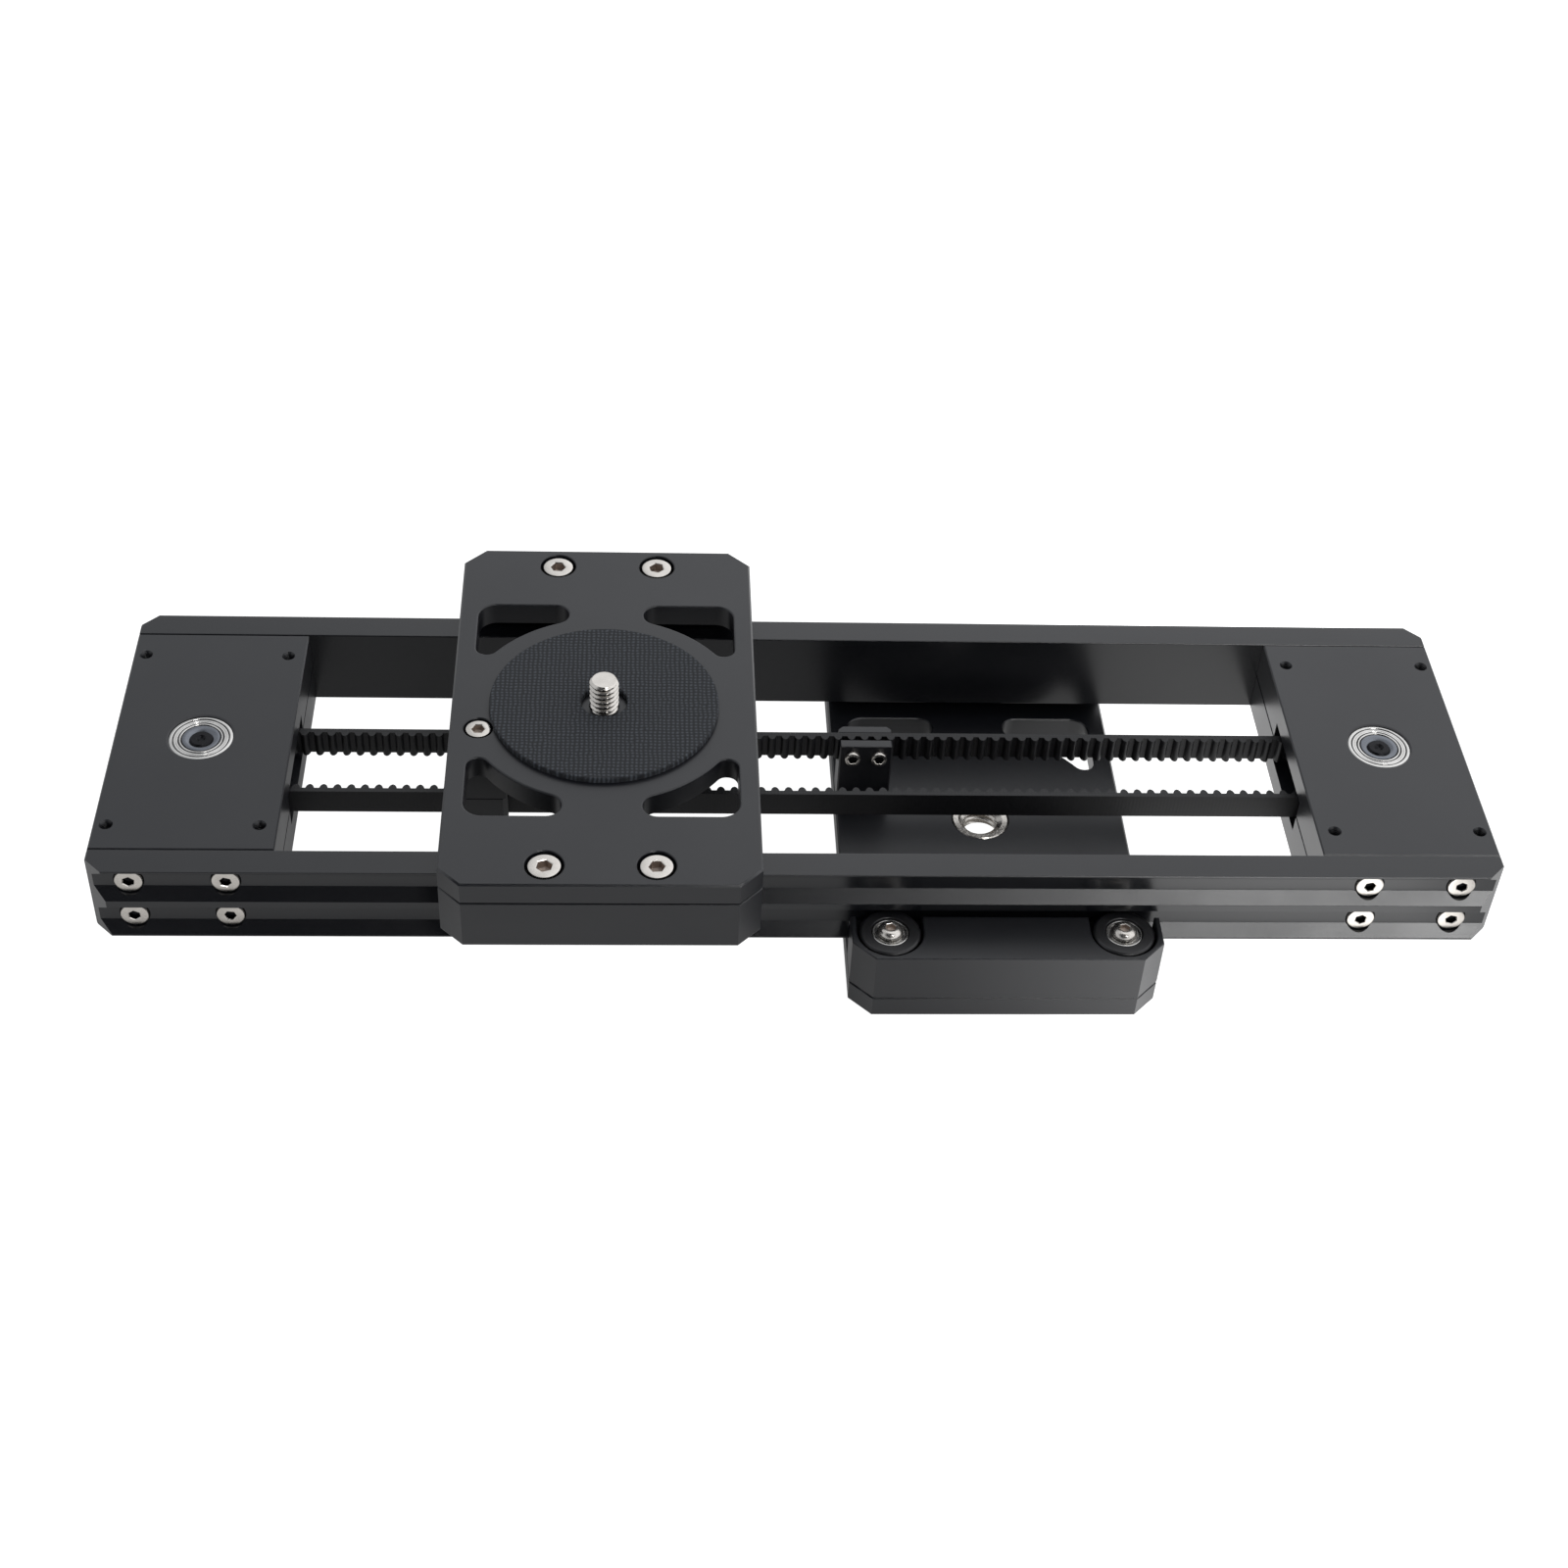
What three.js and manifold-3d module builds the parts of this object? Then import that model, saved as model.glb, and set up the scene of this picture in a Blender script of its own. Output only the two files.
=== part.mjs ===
// A camera slider with a belt that doubles its travel. A base stands on a tripod, a rail slides along the
// base on V-wheels, and an upper carriage slides along the rail on V-wheels of its own.
// Millimetres. X runs along the rail, Y across it and Z up. The origin is under the middle of the rail, on
// the surface that the base stands on.

import * as THREE from "three";
import { mergeVertices } from "three/addons/utils/BufferGeometryUtils.js";
import Module from "manifold-3d";

const wasm = await Module();
wasm.setup();

// ---------------------------------------------------------------- driving dimensions

// Belt and pulleys
const beltPitch = 3;
const beltTeeth = 195;
const pulleyTeeth = 20;
const beltWidth = 6;
const beltBand = 1.2;
const beltToothHeight = 1.2;
const beltToothRoot = 1.9;
const beltToothTip = 1.2;
const pitchLineDepth = 0.38;
const flangeThickness = 0.8;
const flangeRise = 1.2;
const axleDiameter = 5;
const axleRecess = 0.4;
const bearingDiameter = 14;
const bearingWidth = 5;
const bearingRecess = 0.3;

// Rail
const railWidth = 84.5;
const sideRailThickness = 6.8;
const railCorner = 3.8;
const axleToRailEnd = 18.75;
const grooveDepth = 2.45;
const grooveLand = 1.8;
const grooveLip = 0.45;
const endPlateLength = 38.65;
const accessoryHoleDiameter = 2.5;
const accessoryHoleSpacing = 32;
const accessoryHoleInset = 7.4;

// Screws through the side rails into the end plates
const railScrewHead = 6;
const railScrewHeadHeight = 2.2;
const railScrewProud = 0.75;
const railScrewShank = 3;
const railScrewLength = 10;
const railScrewSocket = 2.5;
const railScrewSpacing = 20;

// Plates, blocks and wheels, the same for the base and for the upper carriage
const padDiameter = 50;
const plateThickness = 5.5;
const plateCorner = 4.8;
const plateRim = 4.3;
const plateToRail = 4.5;
const pocketToPad = 5.6;
const pocketReachAlong = 1.7;
const pocketReachAcross = 4.6;
const pocketCornerRadius = 4;
const pocketInnerRadius = 3.2;
const pocketLowerRadius = 2.4;
const blockWall = 1;
const blockToRail = 0.75;
const wheelRadius = 6.6;
const wheelThickness = 6;
const wheelEngagement = 1.45;
const blockEndWall = 1.1;
const wheelBearingRadius = 4;
const wheelBearingWidth = 4;
const wheelBearingRecess = 0.3;
const wheelBossWall = 0.8;
const wheelBolt = { head: 5.5, headHeight: 1.65, shank: 3, length: 11, socket: 2 };
const blockScrew = { head: 7, headHeight: 3.2, shank: 4, length: 10, socket: 3 };
const blockScrewSpacing = 22.9;
const blockScrewInset = 5.9;

// Belt clamps
const clampLength = 12;
const clampInset = 0.2;
const clampJaw = 2.3;
const clampPlateThickness = 2.1;
const clampPlateCorner = 1;
const clampScrewInset = 2.1;
const clampScrew = { head: 5.5, headHeight: 2.4, shank: 3, length: 8, socket: 2.5 };
const pinchScrewSpacing = 6;
const pinchScrewHole = 1.6;

// Shares of a screw's head: its socket's depth, the height of a button head's rim, and its flat's radius
const socketShare = 0.6;
const buttonRim = 0.35;
const buttonFlat = 0.64;

// Pad, stud and tripod bushing
const padThickness = 1.4;
const padHole = 10;
const studDiameter = 6.35;
const studHeight = 7.4;
const studChamfer = 0.8;
const bushingDiameter = 13;
const bushingBore = 9.525;

// Where the base stands along the rail at rest. The upper carriage stands as far the other way.
const restOffset = 43;

// ---------------------------------------------------------------- clearances

const seatGap = 0.02;
const seamGap = 0.1;
const turningGap = 0.08;
const wheelGap = 0.06;
const beltGap = 0.05;
const beltSideGap = 0.25;
const toothGap = 0.2;
const jawGap = 0.12;
const cavityGap = 1.9;
const flangeGap = 0.15;
const holeGap = 0.3;
const headGap = 0.4;
const recessGap = 0.5;
const sinkGap = 0.2;

// ---------------------------------------------------------------- sizes worked out from them

const pitchRadius = (pulleyTeeth * beltPitch) / (2 * Math.PI);
const beltInnerRadius = pitchRadius - pitchLineDepth;
const beltOuterRadius = beltInnerRadius + beltBand;
const beltTipRadius = beltInnerRadius - beltToothHeight;
const axleX = ((beltTeeth - pulleyTeeth) * beltPitch) / 4;
const railLength = 2 * (axleX + axleToRailEnd);
const flangeRadius = beltOuterRadius + flangeRise;
const flangeInner = beltWidth / 2 + beltSideGap;
const flangeOuter = flangeInner + flangeThickness;
const cavityRadius = flangeRadius + cavityGap;
const cavityHalfHeight = flangeOuter + flangeGap;
const railHeight = 2 * (cavityHalfHeight + bearingWidth + bearingRecess);
const sideRailInner = railWidth / 2 - sideRailThickness;
const endPlateHalfWidth = sideRailInner - seamGap;
const grooveOpening = (railHeight - 2 * grooveLip - grooveLand) / 2;
const grooveFloor = grooveOpening - 2 * grooveDepth;
const grooveCentre = grooveLip + grooveOpening / 2;

const railBottom = plateThickness + plateToRail;
const railMiddle = railBottom + railHeight / 2;
const fullHeight = 2 * railMiddle;

const pocketArc = padDiameter / 2 + pocketToPad;
const pocketAlong = pocketArc - pocketReachAlong;
const pocketAcross = pocketArc + pocketReachAcross;
const plateLength = 2 * (pocketAlong + plateRim);
const blockInner = railWidth / 2 + blockToRail;
const recessRadius = wheelRadius + recessGap;
const wheelX = plateLength / 2 - recessRadius - blockEndWall;
const wheelY = railWidth / 2 + wheelRadius - wheelEngagement;
const plateWidth = 2 * (wheelY + recessRadius + blockWall);
const wheelZ = railBottom + grooveCentre;
const wheelTop = wheelZ + wheelThickness / 2;
const blockTop = wheelTop + seamGap;
const recessFloor = wheelZ - wheelThickness / 2 - wheelBearingRecess;
const clampCentreX = -plateLength / 2 + clampInset + clampLength / 2;
const jawFace = beltTipRadius - jawGap;
const jawBack = jawFace - clampJaw;
const clampPlateFace = beltOuterRadius + jawGap;
const clampPlateBack = clampPlateFace + clampPlateThickness;
const beltBottom = railMiddle - beltWidth / 2;
const beltTop = railMiddle + beltWidth / 2;
const clampFootTop = beltBottom - jawGap;

// Number of flat sides on round shapes
const padSides = 36;
const largeSides = 24;
const wheelSides = 18;
const screwSides = 12;
const holeSides = 8;

// ---------------------------------------------------------------- materials

const anodised = { color: 0x252528, roughness: 0.45, metalness: 0.6 };
const stainless = { color: 0xc9cacb, roughness: 0.25, metalness: 1 };
const bearingSteel = { color: 0xb4b6b8, roughness: 0.3, metalness: 1 };
const beltRubber = { color: 0x1b1a1c, roughness: 0.8, metalness: 0 };
const padRubber = { color: 0x33383c, roughness: 0.9, metalness: 0 };
const wheelPlastic = { color: 0x161618, roughness: 0.5, metalness: 0 };
const pulleyMetal = { color: 0x9a9c9f, roughness: 0.4, metalness: 1 };

// ---------------------------------------------------------------- building blocks

// A closed geometry as a solid that can be cut and joined.
function solidOf(geometry) {
  geometry.deleteAttribute("normal");
  geometry.deleteAttribute("uv");
  const merged = mergeVertices(geometry, 1e-4);
  const mesh = new wasm.Mesh({
    numProp: 3,
    vertProperties: merged.attributes.position.array,
    triVerts: new Uint32Array(merged.index.array),
  });
  return new wasm.Manifold(mesh);
}

// A solid as a geometry.
function geometryOf(solid) {
  const mesh = solid.getMesh();
  const geometry = new THREE.BufferGeometry();
  geometry.setAttribute("position", new THREE.BufferAttribute(new Float32Array(mesh.vertProperties), 3));
  geometry.setIndex(new THREE.BufferAttribute(new Uint32Array(mesh.triVerts), 1));
  geometry.computeVertexNormals();
  return geometry;
}

// An outline in the XY plane, raised from bottom to top.
function prism(outline, bottom, top, holes = []) {
  const shape = new THREE.Shape(outline);
  shape.holes = holes.map((hole) => new THREE.Path(hole));
  const geometry = new THREE.ExtrudeGeometry(shape, { depth: top - bottom, bevelEnabled: false });
  geometry.translate(0, 0, bottom);
  return solidOf(geometry);
}

// A block between two corners.
function block(low, high) {
  const size = high.map((value, axis) => value - low[axis]);
  const geometry = new THREE.BoxGeometry(...size);
  geometry.translate(...high.map((value, axis) => (value + low[axis]) / 2));
  return solidOf(geometry);
}

// A round bar standing on Z between two heights.
function rod(diameter, bottom, top, x = 0, y = 0, sides = holeSides) {
  const geometry = new THREE.CylinderGeometry(diameter / 2, diameter / 2, top - bottom, sides);
  geometry.rotateX(Math.PI / 2);
  geometry.translate(x, y, (bottom + top) / 2);
  return solidOf(geometry);
}

// A round bar lying on Y between two places.
function crossRod(diameter, start, end, x, z, sides = holeSides) {
  const geometry = new THREE.CylinderGeometry(diameter / 2, diameter / 2, end - start, sides);
  geometry.translate(x, (start + end) / 2, z);
  return solidOf(geometry);
}

// A profile of [radius, height] points turned about Z.
function turned(profile, sides) {
  const geometry = new THREE.LatheGeometry(profile.map(([r, z]) => new THREE.Vector2(r, z)), sides);
  geometry.rotateX(Math.PI / 2);
  return solidOf(geometry);
}

// A ring with a rectangular section.
function ring(inner, outer, bottom, top, sides) {
  return turned([[inner, bottom], [outer, bottom], [outer, top], [inner, top], [inner, bottom]], sides);
}

function joined(first, ...others) {
  return others.reduce((sum, other) => sum.add(other), first);
}

function cut(first, ...tools) {
  return tools.reduce((rest, tool) => rest.subtract(tool), first);
}

// Points on an arc about a centre, both ends included.
function arc(cx, cy, radius, from, to, steps) {
  return Array.from({ length: steps + 1 }, (_, i) => {
    const angle = from + ((to - from) * i) / steps;
    return new THREE.Vector2(cx + radius * Math.cos(angle), cy + radius * Math.sin(angle));
  });
}

function points(pairs) {
  return pairs.map(([x, y]) => new THREE.Vector2(x, y));
}

// A rectangle about the origin with its four corners cut at 45 degrees.
function chamferedRectangle(length, width, corner) {
  const x = length / 2;
  const y = width / 2;
  return points([
    [x, corner - y],
    [x, y - corner],
    [x - corner, y],
    [corner - x, y],
    [-x, y - corner],
    [-x, corner - y],
    [corner - x, -y],
    [x - corner, -y],
  ]);
}

// A hexagon about the origin, given its size across flats.
function hexagon(acrossFlats) {
  return arc(0, 0, acrossFlats / Math.sqrt(3), 0, (Math.PI * 5) / 3, 5);
}

// A socket-head screw that points down, with the top of its head at z = 0.
function socketScrew({ head, headHeight, shank, length, socket }) {
  const body = joined(
    rod(head, -headHeight, 0, 0, 0, screwSides),
    rod(shank, -headHeight - length, -headHeight + seatGap, 0, 0, holeSides),
  );
  return cut(body, prism(hexagon(socket), -headHeight * socketShare, 1));
}

// ---------------------------------------------------------------- the assembly

const slider = new THREE.Group();
const railGroup = new THREE.Group();
const baseGroup = new THREE.Group();
const carriageGroup = new THREE.Group();
slider.add(railGroup, baseGroup, carriageGroup);
baseGroup.position.set(restOffset, 0, 0);
// The upper carriage is the base's design turned over about the rail's length.
carriageGroup.scale.set(1, -1, -1);
carriageGroup.position.set(-restOffset, 0, fullHeight);

function addPart(group, name, solid, finish, position = [0, 0, 0], rotation = [0, 0, 0]) {
  const mesh = new THREE.Mesh(geometryOf(solid), new THREE.MeshStandardMaterial(finish));
  mesh.name = name;
  mesh.position.set(...position);
  mesh.rotation.set(...rotation);
  group.add(mesh);
}

// ---------------------------------------------------------------- rail

// The side rail's section as [y, z] from its inner face: two V-grooves with flat floors on the outside.
function sideRailSection() {
  const outer = sideRailThickness;
  const floor = outer - grooveDepth;
  const groove = (centre) => [
    [outer, centre - grooveOpening / 2],
    [floor, centre - grooveFloor / 2],
    [floor, centre + grooveFloor / 2],
    [outer, centre + grooveOpening / 2],
  ];
  return points([
    [0, 0],
    [outer, 0],
    ...groove(grooveCentre),
    ...groove(railHeight - grooveCentre),
    [outer, railHeight],
    [0, railHeight],
  ]);
}

// X and Z of the screws that hold the end plates: two columns at each end, one row in each groove.
function railScrewPlaces() {
  const columns = [-railScrewSpacing / 2, railScrewSpacing / 2];
  const rows = [railBottom + grooveCentre, railBottom + railHeight - grooveCentre];
  return [-axleX, axleX].flatMap((centre) =>
    columns.flatMap((column) => rows.map((z) => ({ x: centre + column, z, outer: column * centre > 0 }))),
  );
}

const railScrewFace = railWidth / 2 - grooveDepth + railScrewProud;
const railScrewSeat = railScrewFace - railScrewHeadHeight;

// One side rail, built on the +Y side. The other is the same bar turned end for end.
function sideRail() {
  const bar = new THREE.ExtrudeGeometry(new THREE.Shape(sideRailSection()), {
    depth: railLength,
    bevelEnabled: false,
  });
  // The section's first axis becomes Y, its second Z, and the bar runs along X.
  bar.rotateX(Math.PI / 2);
  bar.rotateZ(Math.PI / 2);
  bar.translate(-railLength / 2, sideRailInner, railBottom);
  const outline = chamferedRectangle(railLength, railWidth, railCorner);
  let rail = solidOf(bar).intersect(prism(outline, railBottom - 1, railBottom + railHeight + 1));
  for (const { x, z } of railScrewPlaces()) {
    const head = crossRod(railScrewHead + headGap, railScrewSeat, railWidth, x, z, screwSides);
    const shank = crossRod(railScrewShank + holeGap, sideRailInner - 1, railScrewSeat + 1, x, z);
    rail = cut(rail, head, shank);
  }
  return rail;
}

addPart(railGroup, "back_side_rail", sideRail(), anodised);
addPart(railGroup, "front_side_rail", sideRail(), anodised, [0, 0, 0], [0, 0, Math.PI]);

// The lower plate of the +X end block. It holds half of the pulley's cavity and a bearing.
function endPlate() {
  const inner = railLength / 2 - endPlateLength;
  const plate = block(
    [inner, -endPlateHalfWidth, railBottom],
    [railLength / 2, endPlateHalfWidth, railMiddle - seatGap],
  );
  const cavityFloor = railMiddle - cavityHalfHeight;
  const cavity = joined(
    block([inner - 1, -cavityRadius, cavityFloor], [axleX, cavityRadius, railMiddle + 1]),
    rod(2 * cavityRadius, cavityFloor, railMiddle + 1, axleX, 0, largeSides),
  );
  const seat = rod(bearingDiameter + 2 * turningGap, railBottom - 1, railMiddle, axleX, 0, wheelSides);
  const holeY = endPlateHalfWidth - accessoryHoleInset;
  const holes = [-1, 1].flatMap((sx) =>
    [-1, 1].map((sy) =>
      rod(
        accessoryHoleDiameter,
        railBottom - 1,
        railMiddle + 1,
        axleX + (sx * accessoryHoleSpacing) / 2,
        sy * holeY,
      ),
    ),
  );
  const screwEnd = railScrewSeat - railScrewLength - holeGap;
  const lowerRow = railScrewPlaces().filter(({ x, z }) => x > 0 && z < railMiddle);
  const threads = lowerRow.flatMap(({ x, z }) => [
    crossRod(railScrewShank + holeGap, screwEnd, railWidth / 2, x, z),
    crossRod(railScrewShank + holeGap, -railWidth / 2, -screwEnd, x, z),
  ]);
  return cut(plate, cavity, seat, ...holes, ...threads);
}

// The four end plates are one design: the upper ones are turned over, the left ones turned end for end.
for (const [side, sx] of [["left", -1], ["right", 1]]) {
  for (const [level, sz] of [["lower", 1], ["upper", -1]]) {
    const corner = new THREE.Group();
    corner.scale.set(sx, sx * sz, sz);
    corner.position.set(0, 0, sz > 0 ? 0 : fullHeight);
    railGroup.add(corner);
    addPart(corner, `${level}_end_plate_${side}`, endPlate(), anodised);
    addPart(corner, `${level}_axle_bearing_${side}`, axleBearing(), bearingSteel, [axleX, 0, 0]);
  }
}

function axleBearing() {
  const bore = axleDiameter / 2 + turningGap;
  const bottom = railBottom + bearingRecess;
  return ring(bore, bearingDiameter / 2, bottom, bottom + bearingWidth - seatGap, wheelSides);
}

for (const { x, z, outer } of railScrewPlaces()) {
  if (!outer) continue;
  const screw = socketScrew({
    head: railScrewHead,
    headHeight: railScrewHeadHeight - seatGap,
    shank: railScrewShank,
    length: railScrewLength,
    socket: railScrewSocket,
  });
  const level = z < railMiddle ? "lower" : "upper";
  const side = x < 0 ? "left" : "right";
  for (const [rail, sy] of [["back", 1], ["front", -1]]) {
    const name = `${rail}_rail_screw_${level}_${side}`;
    addPart(railGroup, name, screw, stainless, [x, sy * railScrewFace, z], [(-sy * Math.PI) / 2, 0, 0]);
  }
}

// ---------------------------------------------------------------- belt and pulleys

// A place on the belt's loop, given its distance from the left tangent point of the front run and its
// distance from the loop's centre line, counted as a radius round the pulleys.
function loopPoint(distance, radius) {
  const span = 2 * axleX;
  const half = Math.PI * pitchRadius;
  const total = 2 * (span + half);
  const s = ((distance % total) + total) % total;
  if (s < span) return [s - axleX, -radius];
  if (s < span + half) {
    const angle = (s - span) / pitchRadius - Math.PI / 2;
    return [axleX + radius * Math.cos(angle), radius * Math.sin(angle)];
  }
  if (s < 2 * span + half) return [axleX - (s - span - half), radius];
  const angle = (s - 2 * span - half) / pitchRadius + Math.PI / 2;
  return [-axleX + radius * Math.cos(angle), radius * Math.sin(angle)];
}

function driveBelt() {
  const inside = [];
  for (let tooth = 0; tooth < beltTeeth; tooth += 1) {
    const centre = tooth * beltPitch;
    inside.push(loopPoint(centre - beltToothRoot / 2, beltInnerRadius));
    inside.push(loopPoint(centre - beltToothTip / 2, beltTipRadius));
    inside.push(loopPoint(centre + beltToothTip / 2, beltTipRadius));
    inside.push(loopPoint(centre + beltToothRoot / 2, beltInnerRadius));
  }
  const outside = [
    ...arc(axleX, 0, beltOuterRadius, -Math.PI / 2, Math.PI / 2, largeSides / 2),
    ...arc(-axleX, 0, beltOuterRadius, Math.PI / 2, (Math.PI * 3) / 2, largeSides / 2),
  ];
  return prism(outside, beltBottom, beltTop, [points(inside)]);
}

addPart(railGroup, "drive_belt", driveBelt(), beltRubber);

// A toothed pulley with its flanges, on its axle. Its grooves are in step with the belt's teeth.
function pulley(firstGroove) {
  const outer = beltInnerRadius - beltGap;
  const root = beltTipRadius - beltGap;
  const mouthAngle = (beltToothRoot / 2 + toothGap) / outer;
  const rootAngle = (beltToothTip / 2 + toothGap) / root;
  const at = (radius, angle) => [radius * Math.cos(angle), radius * Math.sin(angle)];
  const outline = [];
  for (let tooth = 0; tooth < pulleyTeeth; tooth += 1) {
    const centre = firstGroove + (tooth * 2 * Math.PI) / pulleyTeeth;
    outline.push(at(outer, centre - mouthAngle));
    outline.push(at(root, centre - rootAngle));
    outline.push(at(root, centre + rootAngle));
    outline.push(at(outer, centre + mouthAngle));
  }
  return joined(
    prism(points(outline), railMiddle - flangeInner, railMiddle + flangeInner),
    rod(2 * flangeRadius, railMiddle - flangeOuter, railMiddle - flangeInner, 0, 0, wheelSides),
    rod(2 * flangeRadius, railMiddle + flangeInner, railMiddle + flangeOuter, 0, 0, wheelSides),
    rod(axleDiameter, railBottom + axleRecess, railBottom + railHeight - axleRecess, 0, 0, wheelSides),
  );
}

// On the left the loop's first tooth stands at the tangent point. On the right the loop arrives part of a
// pitch late, by what is left over when its straight run is divided into teeth.
const straightRun = 2 * axleX;
const lateBy = Math.ceil(straightRun / beltPitch) * beltPitch - straightRun;
addPart(railGroup, "pulley_left", pulley(-Math.PI / 2), pulleyMetal, [-axleX, 0, 0]);
addPart(railGroup, "pulley_right", pulley(lateBy / pitchRadius - Math.PI / 2), pulleyMetal, [axleX, 0, 0]);

// ---------------------------------------------------------------- base and upper carriage

// One pocket's outline beside the pad. It is widest at the plate's corner, and follows the pad between a
// wide round end near the plate's middle line and a narrow one near its side.
function pocketOutline(sx, sy) {
  const innerY = pocketAcross - pocketInnerRadius;
  const innerX = Math.sqrt((pocketArc + pocketInnerRadius) ** 2 - innerY ** 2);
  const lowerX = pocketAlong - pocketLowerRadius;
  const lowerY = Math.sqrt((pocketArc + pocketLowerRadius) ** 2 - lowerX ** 2);
  const innerAngle = Math.atan2(innerY, innerX);
  const lowerAngle = Math.atan2(lowerY, lowerX);
  const cornerX = pocketAlong - pocketCornerRadius;
  const cornerY = pocketAcross - pocketCornerRadius;
  const outline = [
    ...arc(0, 0, pocketArc, innerAngle, lowerAngle, 5),
    ...arc(lowerX, lowerY, pocketLowerRadius, lowerAngle + Math.PI, 2 * Math.PI, 4),
    ...arc(cornerX, cornerY, pocketCornerRadius, 0, Math.PI / 2, 4),
    ...arc(innerX, innerY, pocketInnerRadius, Math.PI / 2, innerAngle + Math.PI, 4),
  ];
  return outline.slice(0, -1).map((p) => new THREE.Vector2(sx * p.x, sy * p.y));
}

const blockScrewX = blockScrewSpacing / 2;
const blockScrewY = plateWidth / 2 - blockScrewInset;
const corners = [[-1, -1], [1, -1], [-1, 1], [1, 1]];

// How far from the plate's outer face a screw in a counterbore reaches.
function screwReach({ headHeight, length }) {
  return sinkGap + headHeight + length;
}

// The counterbore and the through hole of a screw whose head sits just inside the plate's outer face.
function screwHole({ head, headHeight, shank }, x, y) {
  return joined(
    rod(head + 2 * headGap, -1, headHeight + sinkGap, x, y, screwSides),
    rod(shank + holeGap, -1, plateThickness + 1, x, y),
  );
}

const clampScrewY = jawBack + clampScrewInset;

// The pocketed plate, with its outer face at z = 0.
function plate(centreHole) {
  const outline = chamferedRectangle(plateLength, plateWidth, plateCorner);
  const pockets = corners.map(([sx, sy]) => pocketOutline(sx, sy));
  const body = prism(outline, 0, plateThickness, pockets);
  const holes = corners.map(([sx, sy]) => screwHole(blockScrew, sx * blockScrewX, sy * blockScrewY));
  const centre = rod(centreHole, -1, plateThickness + 1, 0, 0, wheelSides);
  return cut(body, centre, screwHole(clampScrew, clampCentreX, clampScrewY), ...holes);
}

// The block along one edge of the plate, on the +Y side. Each wheel turns in a recess that opens to the
// rail, on a low boss that carries its bearing's inner ring.
function sideBlock() {
  const x = plateLength / 2;
  const y = plateWidth / 2;
  const outline = points([
    [-x, blockInner],
    [x, blockInner],
    [x, y - plateCorner],
    [x - plateCorner, y],
    [plateCorner - x, y],
    [-x, y - plateCorner],
  ]);
  let body = prism(outline, plateThickness + seatGap, blockTop);
  const bossTop = wheelTop - wheelBearingRecess - wheelBearingWidth - seatGap;
  for (const sx of [-1, 1]) {
    const recess = cut(
      rod(2 * recessRadius, recessFloor, blockTop + 1, sx * wheelX, wheelY, wheelSides),
      rod(wheelBolt.shank + 2 * wheelBossWall, recessFloor - 1, bossTop, sx * wheelX, wheelY),
    );
    const threadEnd = wheelTop - wheelBearingRecess - wheelBolt.length - holeGap;
    const thread = rod(wheelBolt.shank + holeGap, threadEnd, blockTop + 1, sx * wheelX, wheelY);
    const screwEnd = screwReach(blockScrew) + holeGap;
    const screw = rod(blockScrew.shank + holeGap, 0, screwEnd, sx * blockScrewX, blockScrewY);
    body = cut(body, recess, thread, screw);
  }
  return body;
}

// A V-wheel with its ball bearing pressed in flush with one face.
function vWheel() {
  const half = wheelThickness / 2;
  const tip = grooveOpening / 2 - wheelEngagement - wheelGap * Math.SQRT2;
  const face = wheelRadius - (half - tip);
  const bore = wheelBolt.shank / 2 + turningGap;
  const bearingTop = half - wheelBearingRecess;
  const bearingBottom = bearingTop - wheelBearingWidth;
  return turned(
    [
      [bore, bearingBottom],
      [wheelBearingRadius, bearingBottom],
      [wheelBearingRadius, -half],
      [face, -half],
      [wheelRadius, -tip],
      [wheelRadius, tip],
      [face, half],
      [wheelBearingRadius, half],
      [wheelBearingRadius, bearingTop],
      [bore, bearingTop],
      [bore, bearingBottom],
    ],
    wheelSides,
  );
}

// The button-headed bolt that a wheel turns on, with its head's seat at z = 0.
function wheelBoltSolid() {
  const { head, headHeight, shank, length, socket } = wheelBolt;
  const body = turned(
    [
      [0, -length],
      [shank / 2, -length],
      [shank / 2, seatGap],
      [head / 2, seatGap],
      [head / 2, headHeight * buttonRim],
      [(head / 2) * buttonFlat, headHeight],
      [0, headHeight],
    ],
    screwSides,
  );
  return cut(body, prism(hexagon(socket), headHeight * (1 - socketShare), headHeight + 1));
}

// The fixed half of the belt clamp: a foot on the plate and a jaw on the toothed side of the belt.
function clampBody() {
  const half = clampLength / 2;
  const foot = block([-half, jawBack, plateThickness + seatGap], [half, clampPlateBack, clampFootTop]);
  const jaw = block([-half, jawBack, clampFootTop - 1], [half, jawFace, beltTop]);
  const thread = rod(clampScrew.shank + holeGap, 0, screwReach(clampScrew) + holeGap, 0, clampScrewY);
  const pinches = [-1, 1].map((side) =>
    crossRod(pinchScrewHole, jawBack - 1, jawFace + 1, (side * pinchScrewSpacing) / 2, railMiddle),
  );
  return cut(joined(foot, jaw), thread, ...pinches);
}

// The loose half of the belt clamp, which two small screws pull against the smooth side of the belt.
function clampPlate() {
  const half = clampLength / 2;
  const corner = clampPlateCorner;
  const outline = points([
    [-half, clampPlateFace],
    [half, clampPlateFace],
    [half, clampPlateBack - corner],
    [half - corner, clampPlateBack],
    [corner - half, clampPlateBack],
    [-half, clampPlateBack - corner],
  ]);
  return prism(outline, clampFootTop + seatGap, beltTop);
}

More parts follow.
